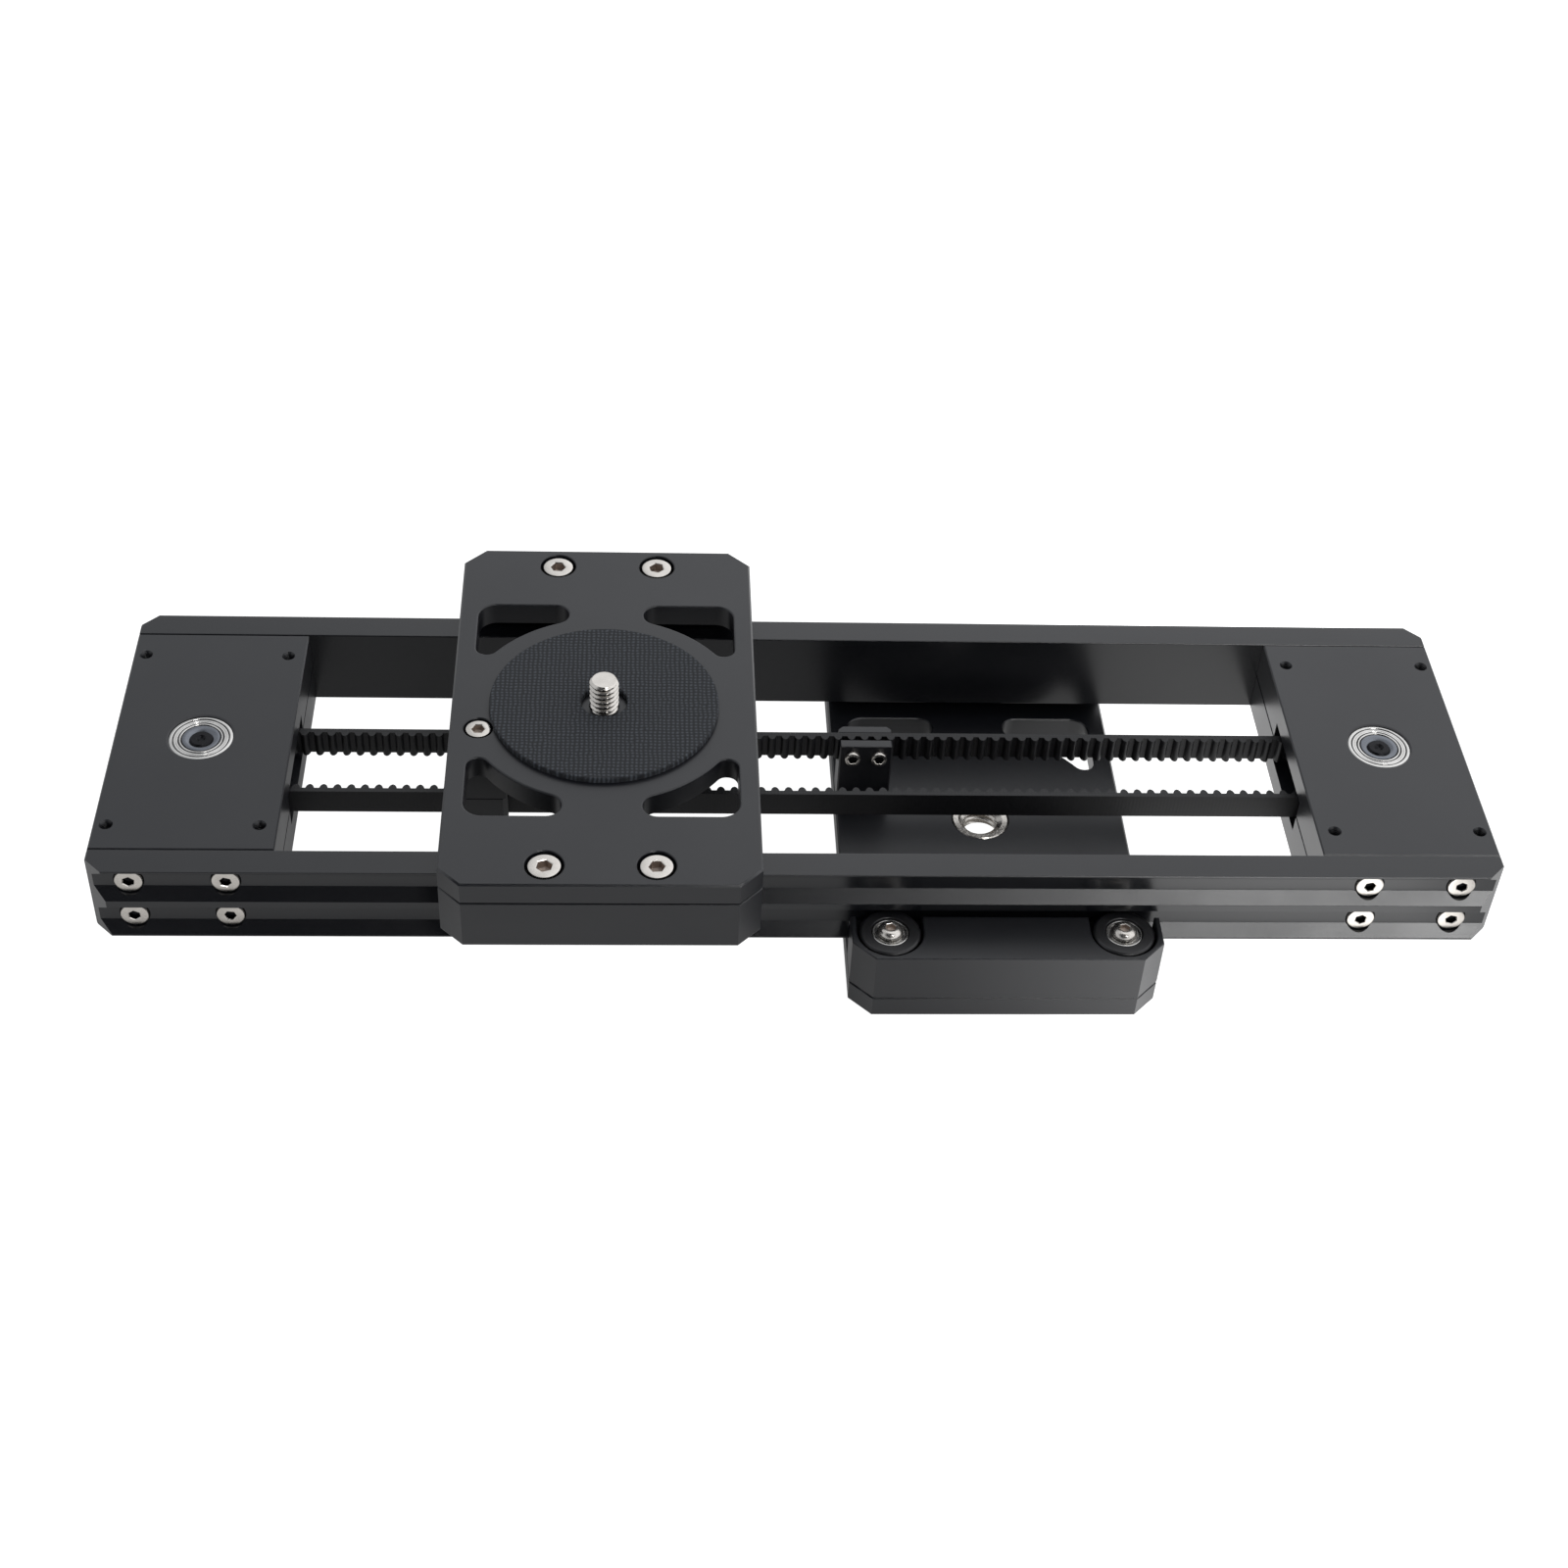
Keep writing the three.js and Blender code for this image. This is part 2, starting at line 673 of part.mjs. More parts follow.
// Everything that the base and the upper carriage share.
function addFrame(group, name, centreHole) {
  addPart(group, `${name}_plate`, plate(centreHole), anodised);
  addPart(group, `${name}_clamp_body`, clampBody(), anodised, [clampCentreX, 0, 0]);
  addPart(group, `${name}_clamp_plate`, clampPlate(), anodised, [clampCentreX, 0, 0]);
  const clampSeat = [clampCentreX, clampScrewY, sinkGap];
  addPart(group, `${name}_clamp_screw`, socketScrew(clampScrew), stainless, clampSeat, [Math.PI, 0, 0]);
  // The upper carriage is turned over, so its +Y side is the front.
  const sides = group === baseGroup ? [["back", 1], ["front", -1]] : [["front", 1], ["back", -1]];
  for (const [side, sy] of sides) {
    const turn = sy > 0 ? [0, 0, 0] : [0, 0, Math.PI];
    addPart(group, `${name}_block_${side}`, sideBlock(), anodised, [0, 0, 0], turn);
    for (const [end, sx] of [["left", -1], ["right", 1]]) {
      const screwPlace = [sx * blockScrewX, sy * blockScrewY, sinkGap];
      const screw = socketScrew(blockScrew);
      addPart(group, `${name}_block_screw_${side}_${end}`, screw, stainless, screwPlace, [Math.PI, 0, 0]);
      const wheelPlace = [sx * wheelX, sy * wheelY, wheelZ];
      addPart(group, `${name}_wheel_${side}_${end}`, vWheel(), wheelPlastic, wheelPlace);
      const boltPlace = [sx * wheelX, sy * wheelY, wheelTop - wheelBearingRecess];
      addPart(group, `${name}_wheel_bolt_${side}_${end}`, wheelBoltSolid(), stainless, boltPlace);
    }
  }
}

addFrame(baseGroup, "base", bushingDiameter + holeGap);
addFrame(carriageGroup, "carriage", studDiameter + holeGap);

// The threaded bushing that takes the tripod's screw.
const bushingWall = ring(bushingBore / 2, bushingDiameter / 2, 0, plateThickness, wheelSides);
addPart(baseGroup, "tripod_bushing", bushingWall, stainless);

// The rubber pad that the camera stands on, and the stud that holds it.
const padRing = ring(padHole / 2, padDiameter / 2, -padThickness - seatGap, -seatGap, padSides);
addPart(carriageGroup, "camera_pad", padRing, padRubber);

const stud = turned(
  [
    [0, -studHeight],
    [studDiameter / 2 - studChamfer, -studHeight],
    [studDiameter / 2, studChamfer - studHeight],
    [studDiameter / 2, plateThickness],
    [0, plateThickness],
  ],
  wheelSides,
);
addPart(carriageGroup, "camera_stud", stud, stainless);

export default slider;
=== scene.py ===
"""A camera slider with a belt that doubles its travel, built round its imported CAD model.

Lengths in this script are millimetres, in the CAD model's own frame: X along the rail, Y across it, Z up.
Each mesh is turned into metres when its piece is made.
"""

import math

import bmesh
import bpy
from mathutils import Matrix, Vector


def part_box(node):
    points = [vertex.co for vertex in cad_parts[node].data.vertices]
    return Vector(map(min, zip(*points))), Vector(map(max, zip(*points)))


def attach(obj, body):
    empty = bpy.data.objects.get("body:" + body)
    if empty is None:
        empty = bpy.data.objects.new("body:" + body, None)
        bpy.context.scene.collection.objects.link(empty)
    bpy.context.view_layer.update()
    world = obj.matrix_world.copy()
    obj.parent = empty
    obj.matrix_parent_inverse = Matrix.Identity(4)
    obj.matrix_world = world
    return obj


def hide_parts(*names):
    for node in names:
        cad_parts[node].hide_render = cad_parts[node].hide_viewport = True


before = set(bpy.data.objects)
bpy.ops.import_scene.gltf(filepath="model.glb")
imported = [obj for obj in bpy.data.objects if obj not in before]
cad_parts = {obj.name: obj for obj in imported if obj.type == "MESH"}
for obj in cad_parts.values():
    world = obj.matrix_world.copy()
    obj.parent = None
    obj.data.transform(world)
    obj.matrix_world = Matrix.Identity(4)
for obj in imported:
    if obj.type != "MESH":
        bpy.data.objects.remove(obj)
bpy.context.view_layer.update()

MM = 0.001
TURN = 2 * math.pi
FINE = 96
ROUND = 64
SMALL = 36


def span(node):
    """A CAD node's lowest and highest corners, in millimetres."""
    low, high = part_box(node)
    return low / MM, high / MM


# ---------------------------------------------------------------- sizes

RAIL_LOW, RAIL_HIGH = span("back_side_rail")
RAIL_BOTTOM, RAIL_TOP = RAIL_LOW.z, RAIL_HIGH.z
RAIL_MIDDLE = (RAIL_BOTTOM + RAIL_TOP) / 2
RAIL_HALF = RAIL_HIGH.x
RAIL_INNER, RAIL_OUTER = RAIL_LOW.y, RAIL_HIGH.y
RAIL_CORNER = 3.8
FULL_HEIGHT = 2 * RAIL_MIDDLE

GROOVE_DEPTH = 2.45
GROOVE_FLOOR = 3.25
GROOVE_LIP = 0.45
GROOVE_OPENING = GROOVE_FLOOR + 2 * GROOVE_DEPTH
GROOVE_CENTRE = GROOVE_LIP + GROOVE_OPENING / 2

END_LOW, END_HIGH = span("lower_end_plate_right")
BEARING_LOW, BEARING_HIGH = span("lower_axle_bearing_right")
AXLE_X = (BEARING_LOW.x + BEARING_HIGH.x) / 2
BEARING_RADIUS = 7.0
BEARING_RECESS = BEARING_LOW.z - RAIL_BOTTOM
BEARING_WIDTH = BEARING_HIGH.z - BEARING_LOW.z
AXLE_RADIUS = 2.5

RAIL_SCREW_SPACING = 20.0
RAIL_SCREW_HEAD = 6.0
RAIL_SCREW_HEIGHT = 2.2
RAIL_SCREW_FACE = span("back_rail_screw_upper_right")[1].y

BELT_LOW, BELT_HIGH = span("drive_belt")
BELT_PITCH = 3.0
BELT_OUTER = BELT_HIGH.y
BELT_BAND = 1.2
BELT_INNER = BELT_OUTER - BELT_BAND
BELT_TOOTH = 1.2
PITCH_LINE_DEPTH = 0.38
PULLEY_TEETH = round((BELT_INNER + PITCH_LINE_DEPTH) * TURN / BELT_PITCH)
PITCH_RADIUS = PULLEY_TEETH * BELT_PITCH / TURN
BELT_TEETH = PULLEY_TEETH + round(4 * AXLE_X / BELT_PITCH)

FLANGE_RADIUS = BELT_OUTER + 1.2
FLANGE_INNER = 3.25
FLANGE_OUTER = 4.05
CAVITY_RADIUS = FLANGE_RADIUS + 1.9
CAVITY_HALF = RAIL_MIDDLE - BEARING_HIGH.z - 0.02

PLATE_THICKNESS = 5.5
PLATE_CORNER = 4.8
PAD_RADIUS = 25.0
POCKET_EDGE = 0.45


# ---------------------------------------------------------------- outlines

def circle(radius, sides, x=0.0, y=0.0):
    return [
        (x + radius * math.cos(TURN * i / sides), y + radius * math.sin(TURN * i / sides))
        for i in range(sides)
    ]


def arc(x, y, radius, start, end, steps):
    angles = [start + (end - start) * i / steps for i in range(steps + 1)]
    return [(x + radius * math.cos(a), y + radius * math.sin(a)) for a in angles]


def hexagon(across_flats, sides):
    """A hexagon drawn with as many points as a circle, so that the two can be joined."""
    outline = []
    for i in range(sides):
        angle = TURN * i / sides
        lean = (angle % (TURN / 6)) - TURN / 12
        radius = across_flats / 2 / math.cos(lean)
        outline.append((radius * math.cos(angle), radius * math.sin(angle)))
    return outline


def offset(outline, distance):
    """An anticlockwise outline moved outwards, with mitred corners."""
    moved = []
    count = len(outline)
    for i, here in enumerate(outline):
        before = Vector(here) - Vector(outline[i - 1])
        after = Vector(outline[(i + 1) % count]) - Vector(here)
        first = Vector((before.y, -before.x)).normalized()
        second = Vector((after.y, -after.x)).normalized()
        shift = (first + second) * distance / (1 + first.dot(second))
        moved.append((here[0] + shift.x, here[1] + shift.y))
    return moved


def filleted(corners, steps=4):
    """An outline whose corners, each (x, y, radius), are rounded."""
    outline = []
    count = len(corners)
    for i, (x, y, radius) in enumerate(corners):
        here = Vector((x, y))
        if radius == 0:
            outline.append((x, y))
            continue
        back = (Vector(corners[i - 1][:2]) - here).normalized()
        forward = (Vector(corners[(i + 1) % count][:2]) - here).normalized()
        reach = radius / math.tan(back.angle(forward) / 2)
        for step in range(steps + 1):
            t = step / steps
            point = here + back * reach * (1 - t) ** 2 + forward * reach * t**2
            outline.append((point.x, point.y))
    return outline


def chamfered_rectangle(length, width, corner):
    x, y = length / 2, width / 2
    return [
        (x, corner - y), (x, y - corner), (x - corner, y), (corner - x, y),
        (-x, y - corner), (-x, corner - y), (corner - x, -y), (x - corner, -y),
    ]


# ---------------------------------------------------------------- shells

def shell(rings, loop=False):
    """Points and faces of the closed surface through rings of equal length."""
    count = len(rings[0])
    points = [point for ring in rings for point in ring]
    pairs = [(i, i + 1) for i in range(len(rings) - 1)]
    if loop:
        pairs.append((len(rings) - 1, 0))
    faces = []
    for a, b in pairs:
        for i in range(count):
            j = (i + 1) % count
            faces.append((a * count + i, a * count + j, b * count + j, b * count + i))
    if not loop:
        faces.append(tuple(reversed(range(count))))
        faces.append(tuple((len(rings) - 1) * count + i for i in range(count)))
    return points, faces


def level(outline, z):
    return [(x, y, z) for x, y in outline]


def prism(outline, bottom, top):
    return shell([level(outline, bottom), level(outline, top)])


def soft_prism(outline, bottom, top, edge=0.3, steps=3):
    """A prism whose long edges are rounded."""
    quarter = [math.pi / 2 * i / steps for i in range(steps + 1)]
    rings = [
        level(offset(outline, edge * (math.sin(a) - 1)), bottom + edge * (1 - math.cos(a)))
        for a in quarter
    ]
    rings += [
        level(offset(outline, edge * (math.cos(a) - 1)), top - edge * (1 - math.sin(a)))
        for a in quarter
    ]
    return shell(rings)


def spun(profile, sides=ROUND, loop=False):
    """A profile of (radius, height) turned about Z."""
    return shell([level(circle(r, sides), z) for r, z in profile], loop)


def moved(part, place):
    points, faces = part
    return [tuple(place @ Vector(p)) for p in points], faces


def at(x=0.0, y=0.0, z=0.0):
    return Matrix.Translation((x, y, z))


def turned(degrees, axis):
    return Matrix.Rotation(math.radians(degrees), 4, axis)


# ---------------------------------------------------------------- meshes and pieces

def mesh_of(name, *parts):
    mesh = bpy.data.meshes.new(name)
    points, faces = [], []
    for part_points, part_faces in parts:
        start = len(points)
        points += part_points
        faces += [tuple(start + i for i in face) for face in part_faces]
    mesh.from_pydata(points, [], faces)
    scratch = bmesh.new()
    scratch.from_mesh(mesh)
    bmesh.ops.recalc_face_normals(scratch, faces=scratch.faces)
    scratch.to_mesh(mesh)
    scratch.free()
    return mesh


def baked(obj):
    """The object's mesh with its modifiers applied."""
    graph = bpy.context.evaluated_depsgraph_get()
    mesh = bpy.data.meshes.new_from_object(obj.evaluated_get(graph))
    obj.modifiers.clear()
    obj.data = mesh


def combine(obj, parts, operation="DIFFERENCE"):
    tool = bpy.data.objects.new("tool", mesh_of("tool", *parts))
    bpy.context.scene.collection.objects.link(tool)
    boolean = obj.modifiers.new("combine", "BOOLEAN")
    boolean.operation = operation
    boolean.solver = "EXACT"
    boolean.object = tool
    baked(obj)
    bpy.data.objects.remove(tool)


def piece(name, parts, material, body, nodes=(), cuts=(), place=None, smooth=32, painted_shade=None):
    """One visible piece, given as parts in its own frame, in millimetres.

    A painted shade is a second, darker material for the faces near the piece's Z axis between two heights. It
    paints the shade in screw sockets and thread valleys.
    """
    mesh = mesh_of(name, *parts)
    mesh.materials.append(material)
    if painted_shade:
        inside, radius, low, high = painted_shade
        mesh.materials.append(inside)
        for face in mesh.polygons:
            x, y, z = face.center
            if math.hypot(x, y) < radius and low < z < high:
                face.material_index = 1
    obj = bpy.data.objects.new(name, mesh)
    bpy.context.scene.collection.objects.link(obj)
    for cut in cuts:
        combine(obj, cut)
    obj.data.transform(Matrix.Scale(MM, 4) @ (place or Matrix.Identity(4)))
    obj.data.shade_smooth()
    obj.data.set_sharp_from_angle(angle=math.radians(smooth))
    weighted = obj.modifiers.new("weighted", "WEIGHTED_NORMAL")
    weighted.keep_sharp = True
    weighted.weight = 100
    baked(obj)
    obj.data.name = name
    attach(obj, body)
    if nodes:
        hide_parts(*nodes)
    return obj


# ---------------------------------------------------------------- materials

def new_material(name, colour, metallic, roughness, **extra):
    material = bpy.data.materials.new(name)
    material.use_nodes = True
    tree = material.node_tree
    surface = tree.nodes["Principled BSDF"]
    surface.inputs["Base Color"].default_value = (*colour, 1)
    surface.inputs["Metallic"].default_value = metallic
    surface.inputs["Roughness"].default_value = roughness
    for socket, value in extra.items():
        surface.inputs[socket.replace("_", " ")].default_value = value
    return material, tree, surface


def noise(tree, scale, detail=3.0, stretch=(1, 1, 1)):
    """A noise in object space, with its scale in cycles a metre."""
    where = tree.nodes.new("ShaderNodeTexCoord")
    mapping = tree.nodes.new("ShaderNodeMapping")
    mapping.inputs["Scale"].default_value = stretch
    texture = tree.nodes.new("ShaderNodeTexNoise")
    texture.inputs["Scale"].default_value = scale
    texture.inputs["Detail"].default_value = detail
    tree.links.new(where.outputs["Object"], mapping.inputs["Vector"])
    tree.links.new(mapping.outputs["Vector"], texture.inputs["Vector"])
    return texture.outputs["Fac"]


def remap(tree, value, low, high):
    """A noise value brought into a range."""
    node = tree.nodes.new("ShaderNodeMapRange")
    node.inputs["From Min"].default_value = 0.3
    node.inputs["From Max"].default_value = 0.7
    node.inputs["To Min"].default_value = low
    node.inputs["To Max"].default_value = high
    tree.links.new(value, node.inputs["Value"])
    return node.outputs["Result"]


def blend(tree, factor, first, second):
    """A colour between two, each a colour or a socket."""
    node = tree.nodes.new("ShaderNodeMix")
    node.data_type = "RGBA"
    for socket, colour in ((node.inputs[6], first), (node.inputs[7], second)):
        if isinstance(colour, tuple):
            socket.default_value = (*colour, 1)
        else:
            tree.links.new(colour, socket)
    tree.links.new(factor, node.inputs["Factor"])
    return node.outputs[2]


def bump(tree, surface, height, distance, strength=1.0, under=None):
    node = tree.nodes.new("ShaderNodeBump")
    node.inputs["Distance"].default_value = distance
    node.inputs["Strength"].default_value = strength
    tree.links.new(height, node.inputs["Height"])
    if under:
        tree.links.new(under, node.inputs["Normal"])
    tree.links.new(node.outputs["Normal"], surface.inputs["Normal"])
    return node.outputs["Normal"]


def anodised(name, dark, light, roughness=0.33, grain=(1, 1, 1), depth=0.00001):
    """Black anodised aluminium: a fine blasted or drawn grain under a satin film."""
    material, tree, surface = new_material(name, dark, 0.0, roughness, Specular_IOR_Level=0.5)
    mottle = noise(tree, 60, 4)
    tree.links.new(blend(tree, remap(tree, mottle, 0, 1), dark, light), surface.inputs["Base Color"])
    fine = noise(tree, 5000, 2, grain)
    worn = remap(tree, noise(tree, 25, 5), roughness - 0.04, roughness + 0.05)
    tree.links.new(worn, surface.inputs["Roughness"])
    bump(tree, surface, fine, depth, 0.35)
    return material


def metal(name, colour, roughness, spread):
    """Bare or plated steel, with the fine marks that turning leaves."""
    material, tree, surface = new_material(name, colour, 1.0, roughness)
    marks = noise(tree, 2500, 2, (1, 1, 6))
    tree.links.new(remap(tree, marks, roughness - spread, roughness + spread), surface.inputs["Roughness"])
    tone = tuple(0.85 * value for value in colour)
    cloud = remap(tree, noise(tree, 400), 0, 1)
    tree.links.new(blend(tree, cloud, tone, colour), surface.inputs["Base Color"])
    bump(tree, surface, marks, 0.000006, 0.3)
    return material


def rubber(name, dark, light, roughness, cells, depth, unevenness):
    """Rubber with a fine moulded weave."""
    material, tree, surface = new_material(name, dark, 0.0, roughness, Specular_IOR_Level=0.35)
    where = tree.nodes.new("ShaderNodeTexCoord")
    waves = []
    for direction in ("X", "Y"):
        wave = tree.nodes.new("ShaderNodeTexWave")
        wave.bands_direction = direction
        wave.inputs["Scale"].default_value = cells
        wave.inputs["Distortion"].default_value = unevenness
        wave.inputs["Detail"].default_value = 1.0
        wave.inputs["Detail Scale"].default_value = 1.5
        tree.links.new(where.outputs["Object"], wave.inputs["Vector"])
        waves.append(wave.outputs["Fac"])
    weave = tree.nodes.new("ShaderNodeMath")
    weave.operation = "MULTIPLY"
    tree.links.new(waves[0], weave.inputs[0])
    tree.links.new(waves[1], weave.inputs[1])
    tree.links.new(blend(tree, weave.outputs[0], dark, light), surface.inputs["Base Color"])
    bump(tree, surface, weave.outputs[0], depth, 0.8)
    return material


BLACK_PLATE = anodised("black_anodised_plate", (0.0055, 0.0060, 0.0080), (0.0075, 0.0080, 0.0100))
BLACK_RAIL = anodised("black_anodised_rail", (0.005, 0.0055, 0.007), (0.007, 0.0075, 0.009), 0.22,
                      (0.01, 1, 1), 0.00002)
STAINLESS = metal("bright_steel", (0.60, 0.57, 0.53), 0.24, 0.06)
# Painted shade: a darker, browner steel for the faces inside screw sockets.
SHADED_SOCKET_STEEL = metal("painted_shade_socket_steel", (0.50, 0.43, 0.38), 0.5, 0.05)
BEARING_STEEL = metal("bearing_steel", (0.60, 0.59, 0.57), 0.22, 0.06)
GROUND_STEEL = metal("ground_steel", (0.16, 0.17, 0.19), 0.3, 0.05)
# Blackened steel for the pulley axles. In screw sockets and thread valleys it is painted shade.
DARK_STEEL = metal("blackened_steel_and_painted_shade", (0.02, 0.02, 0.022), 0.4, 0.08)
PULLEY_METAL = metal("turned_aluminium", (0.6, 0.6, 0.61), 0.35, 0.08)
PAD_RUBBER = rubber("pad_rubber", (0.012, 0.013, 0.015), (0.055, 0.062, 0.072), 0.8, 320, 0.00005, 2.2)
BELT_RUBBER = rubber("belt_rubber", (0.006, 0.006, 0.007), (0.009, 0.009, 0.010), 0.5, 400, 0.00002, 0.6)
WHEEL_PLASTIC = anodised("wheel_acetal", (0.005, 0.005, 0.006), (0.007, 0.007, 0.008), 0.35)


# ---------------------------------------------------------------- screws

def socket_screw(head, height, socket, shank, length, edge=0.35):
    """A socket-head screw that points down, with the top of its head at z = 0."""
    r = head / 2
    outline = [
        (circle(shank / 2, SMALL), -height - length),
        (circle(shank / 2, SMALL), -height),
        (circle(r - 0.1, SMALL), -height),
        (circle(r, SMALL), -height + 0.1),
        (circle(r, SMALL), -edge),
        (circle(r - edge * 0.3, SMALL), -edge * 0.3),
        (circle(r - edge, SMALL), 0),
        (hexagon(socket + 0.3, SMALL), 0),
        (hexagon(socket, SMALL), -0.15),
        (hexagon(socket, SMALL), -height * 0.62),
        (circle(socket * 0.2, SMALL), -height * 0.72),
    ]
    return shell([level(ring, z) for ring, z in outline])


def socket_painted_shade(height, socket, material):
    """Painted shade for a socket screw's socket: a darker material on the socket's faces."""
    return material, 0.62 * socket, -0.8 * height, -0.1


def button_screw(head, height, socket, shank, length):
    """A domed socket screw that points down, with the seat of its head at z = 0."""
    r = head / 2
    flat = r * 0.5
    rings = [(circle(shank / 2, SMALL), -length), (circle(shank / 2, SMALL), 0), (circle(r - 0.1, SMALL), 0)]
    for i in range(7):
        t = i / 6
        rise = height * (0.12 + 0.88 * math.sin(t * math.pi / 2))
        rings.append((circle(r - (r - flat) * t**1.6, SMALL), rise))
    rings += [
        (hexagon(socket + 0.2, SMALL), height),
        (hexagon(socket, SMALL), height - 0.1),
        (hexagon(socket, SMALL), height * 0.3),
        (circle(socket * 0.2, SMALL), height * 0.2),
    ]
    return shell([level(ring, z) for ring, z in rings])


def threaded(radius, depth, pitch, bottom, top, sides, chamfer):
    """Rings of a screw thread along Z. A negative depth makes an internal thread's wall."""
    per_turn = 16
    count = round((top - bottom) / pitch * per_turn)
    rings = []
    for i in range(count + 1):
        z = bottom + (top - bottom) * i / count
        limit = radius - max(0, chamfer - (top - z)) if chamfer else radius
        ring = []
        for j in range(sides):
            phase = (z / pitch - j / sides) % 1
            wave = abs(2 * phase - 1)
            cut = depth * min(1, max(0, (wave - 0.12) / 0.72))
            r = min(limit, radius - cut)
            angle = TURN * j / sides
            ring.append((r * math.cos(angle), r * math.sin(angle), z))
        rings.append(ring)
    return rings


# ---------------------------------------------------------------- rail

RAIL_SCREW_SEAT = RAIL_SCREW_FACE - RAIL_SCREW_HEIGHT
RAIL_SCREW_ROWS = {"lower": RAIL_BOTTOM + GROOVE_CENTRE, "upper": RAIL_TOP - GROOVE_CENTRE}
RAIL_SCREW_COLUMNS = [
    (end, column, sx * (AXLE_X + sc * RAIL_SCREW_SPACING / 2))
    for end, sx in (("left", -1), ("right", 1))
    for column, sc in (("outer", 1), ("inner", -1))
]


def side_rail_parts():
    """The back side rail and its cutters."""
    outer, floor = RAIL_OUTER, RAIL_OUTER - GROOVE_DEPTH
    corners = [(RAIL_INNER, RAIL_BOTTOM, 0.35), (outer, RAIL_BOTTOM, 0.2)]
    for centre in RAIL_SCREW_ROWS.values():
        corners += [
            (outer, centre - GROOVE_OPENING / 2, 0.15),
            (floor, centre - GROOVE_FLOOR / 2, 0.2),
            (floor, centre + GROOVE_FLOOR / 2, 0.2),
            (outer, centre + GROOVE_OPENING / 2, 0.15),
        ]
    corners += [(outer, RAIL_TOP, 0.2), (RAIL_INNER, RAIL_TOP, 0.35)]
    section = filleted(corners, 3)
    edge = 0.25
    rings = [
        [(x, y, z) for y, z in offset(section, inset)]
        for x, inset in (
            (-RAIL_HALF, -edge), (edge - RAIL_HALF, 0), (RAIL_HALF - edge, 0), (RAIL_HALF, -edge),
        )
    ]
    bar = shell(rings)
    tools = []
    shank, head, seat = 1.65, 3.2, RAIL_SCREW_SEAT - RAIL_INNER
    hole = spun([(shank, -3), (shank, seat), (head, seat), (head, 12)], SMALL)
    for _, _, x in RAIL_SCREW_COLUMNS:
        for z in RAIL_SCREW_ROWS.values():
            tools.append(moved(hole, at(x, RAIL_INNER, z) @ turned(-90, "X")))
    corner = RAIL_CORNER
    for sx in (-1, 1):
        triangle = [
            (sx * (RAIL_HALF - corner - 1), outer + 1),
            (sx * (RAIL_HALF + 1), outer - corner - 1),
            (sx * (RAIL_HALF + 1), outer + 1),
        ]
        tools.append(prism(triangle, RAIL_BOTTOM - 1, RAIL_TOP + 1))
    return [bar], [tools]


def build_rail():
    parts, cuts = side_rail_parts()
    for side, place in (("back", at()), ("front", turned(180, "Z"))):
        piece(f"{side}_side_rail_bar", parts, BLACK_RAIL, "rail", [f"{side}_side_rail"],
              cuts, place, 28)
    screw = socket_screw(RAIL_SCREW_HEAD, RAIL_SCREW_HEIGHT, 2.2, 3, 10, 0.45)
    for side, sy in (("back", 1), ("front", -1)):
        for row, z in RAIL_SCREW_ROWS.items():
            for end, column, x in RAIL_SCREW_COLUMNS:
                place = at(x, sy * RAIL_SCREW_FACE, z) @ turned(-90 * sy, "X") @ turned(37 * x + 11 * z, "Z")
                nodes = [f"{side}_rail_screw_{row}_{end}"] if column == "outer" else []
                # The screw's socket gets painted shade.
                piece(f"{side}_rail_screw_{row}_{end}_{column}", [screw], STAINLESS, "rail", nodes,
                      (), place, painted_shade=socket_painted_shade(RAIL_SCREW_HEIGHT, 2.2, DARK_STEEL))


def end_plate_parts():
    """The lower right end plate and its cutters. Its outer face is at the rail's bottom."""
    inner, half = END_LOW.x, END_HIGH.y
    outline = [(inner, -half), (END_HIGH.x, -half), (END_HIGH.x, half), (inner, half)]
    body = soft_prism(outline, RAIL_BOTTOM, END_HIGH.z, 0.3, 1)
    cavity = (
        [(inner - 1, CAVITY_RADIUS), (inner - 1, -CAVITY_RADIUS)]
        + arc(AXLE_X, 0, CAVITY_RADIUS, -math.pi / 2, math.pi / 2, 32)
    )
    tools = [prism(cavity, RAIL_MIDDLE - CAVITY_HALF, RAIL_MIDDLE + 1)]
    seat = [(7.5, -1), (7.5, 0), (7.02, 0.25), (7.02, 6)]
    holes = [moved(spun(seat, FINE), at(AXLE_X, 0, RAIL_BOTTOM))]
    thread = [(1.75, -0.4), (1.3, 0.25)]
    thread += [(1.3 - 0.16 * (i % 2), 0.25 + 0.25 * i) for i in range(1, 40)]
    thread.append((1.1, 10.4))
    for sx in (-1, 1):
        for sy in (-1, 1):
            holes.append(moved(spun(thread, SMALL), at(AXLE_X + sx * 16, sy * (half - 7.4), RAIL_BOTTOM)))
    return [body], [tools, holes]


def axle_bearing_part():
    """A shielded ball bearing's outer ring and shield, with its outer face at z = 0 and its back below."""
    back = -BEARING_WIDTH
    profile = [
        (4.38, back), (4.38, -0.14), (4.46, -0.04), (4.70, -0.04), (4.78, -0.14), (4.78, -0.45),
        (5.05, -0.45), (5.05, -0.14), (5.13, -0.06), (5.42, -0.06), (5.5, -0.16), (5.58, -0.06), (5.9, -0.06),
        (5.99, -0.14), (5.99, -0.45), (6.25, -0.45),
        (6.25, -0.1), (6.35, 0), (6.72, 0), (6.93, -0.1), (7.0, -0.28), (7.0, back),
    ]
    return spun(profile, FINE, True)


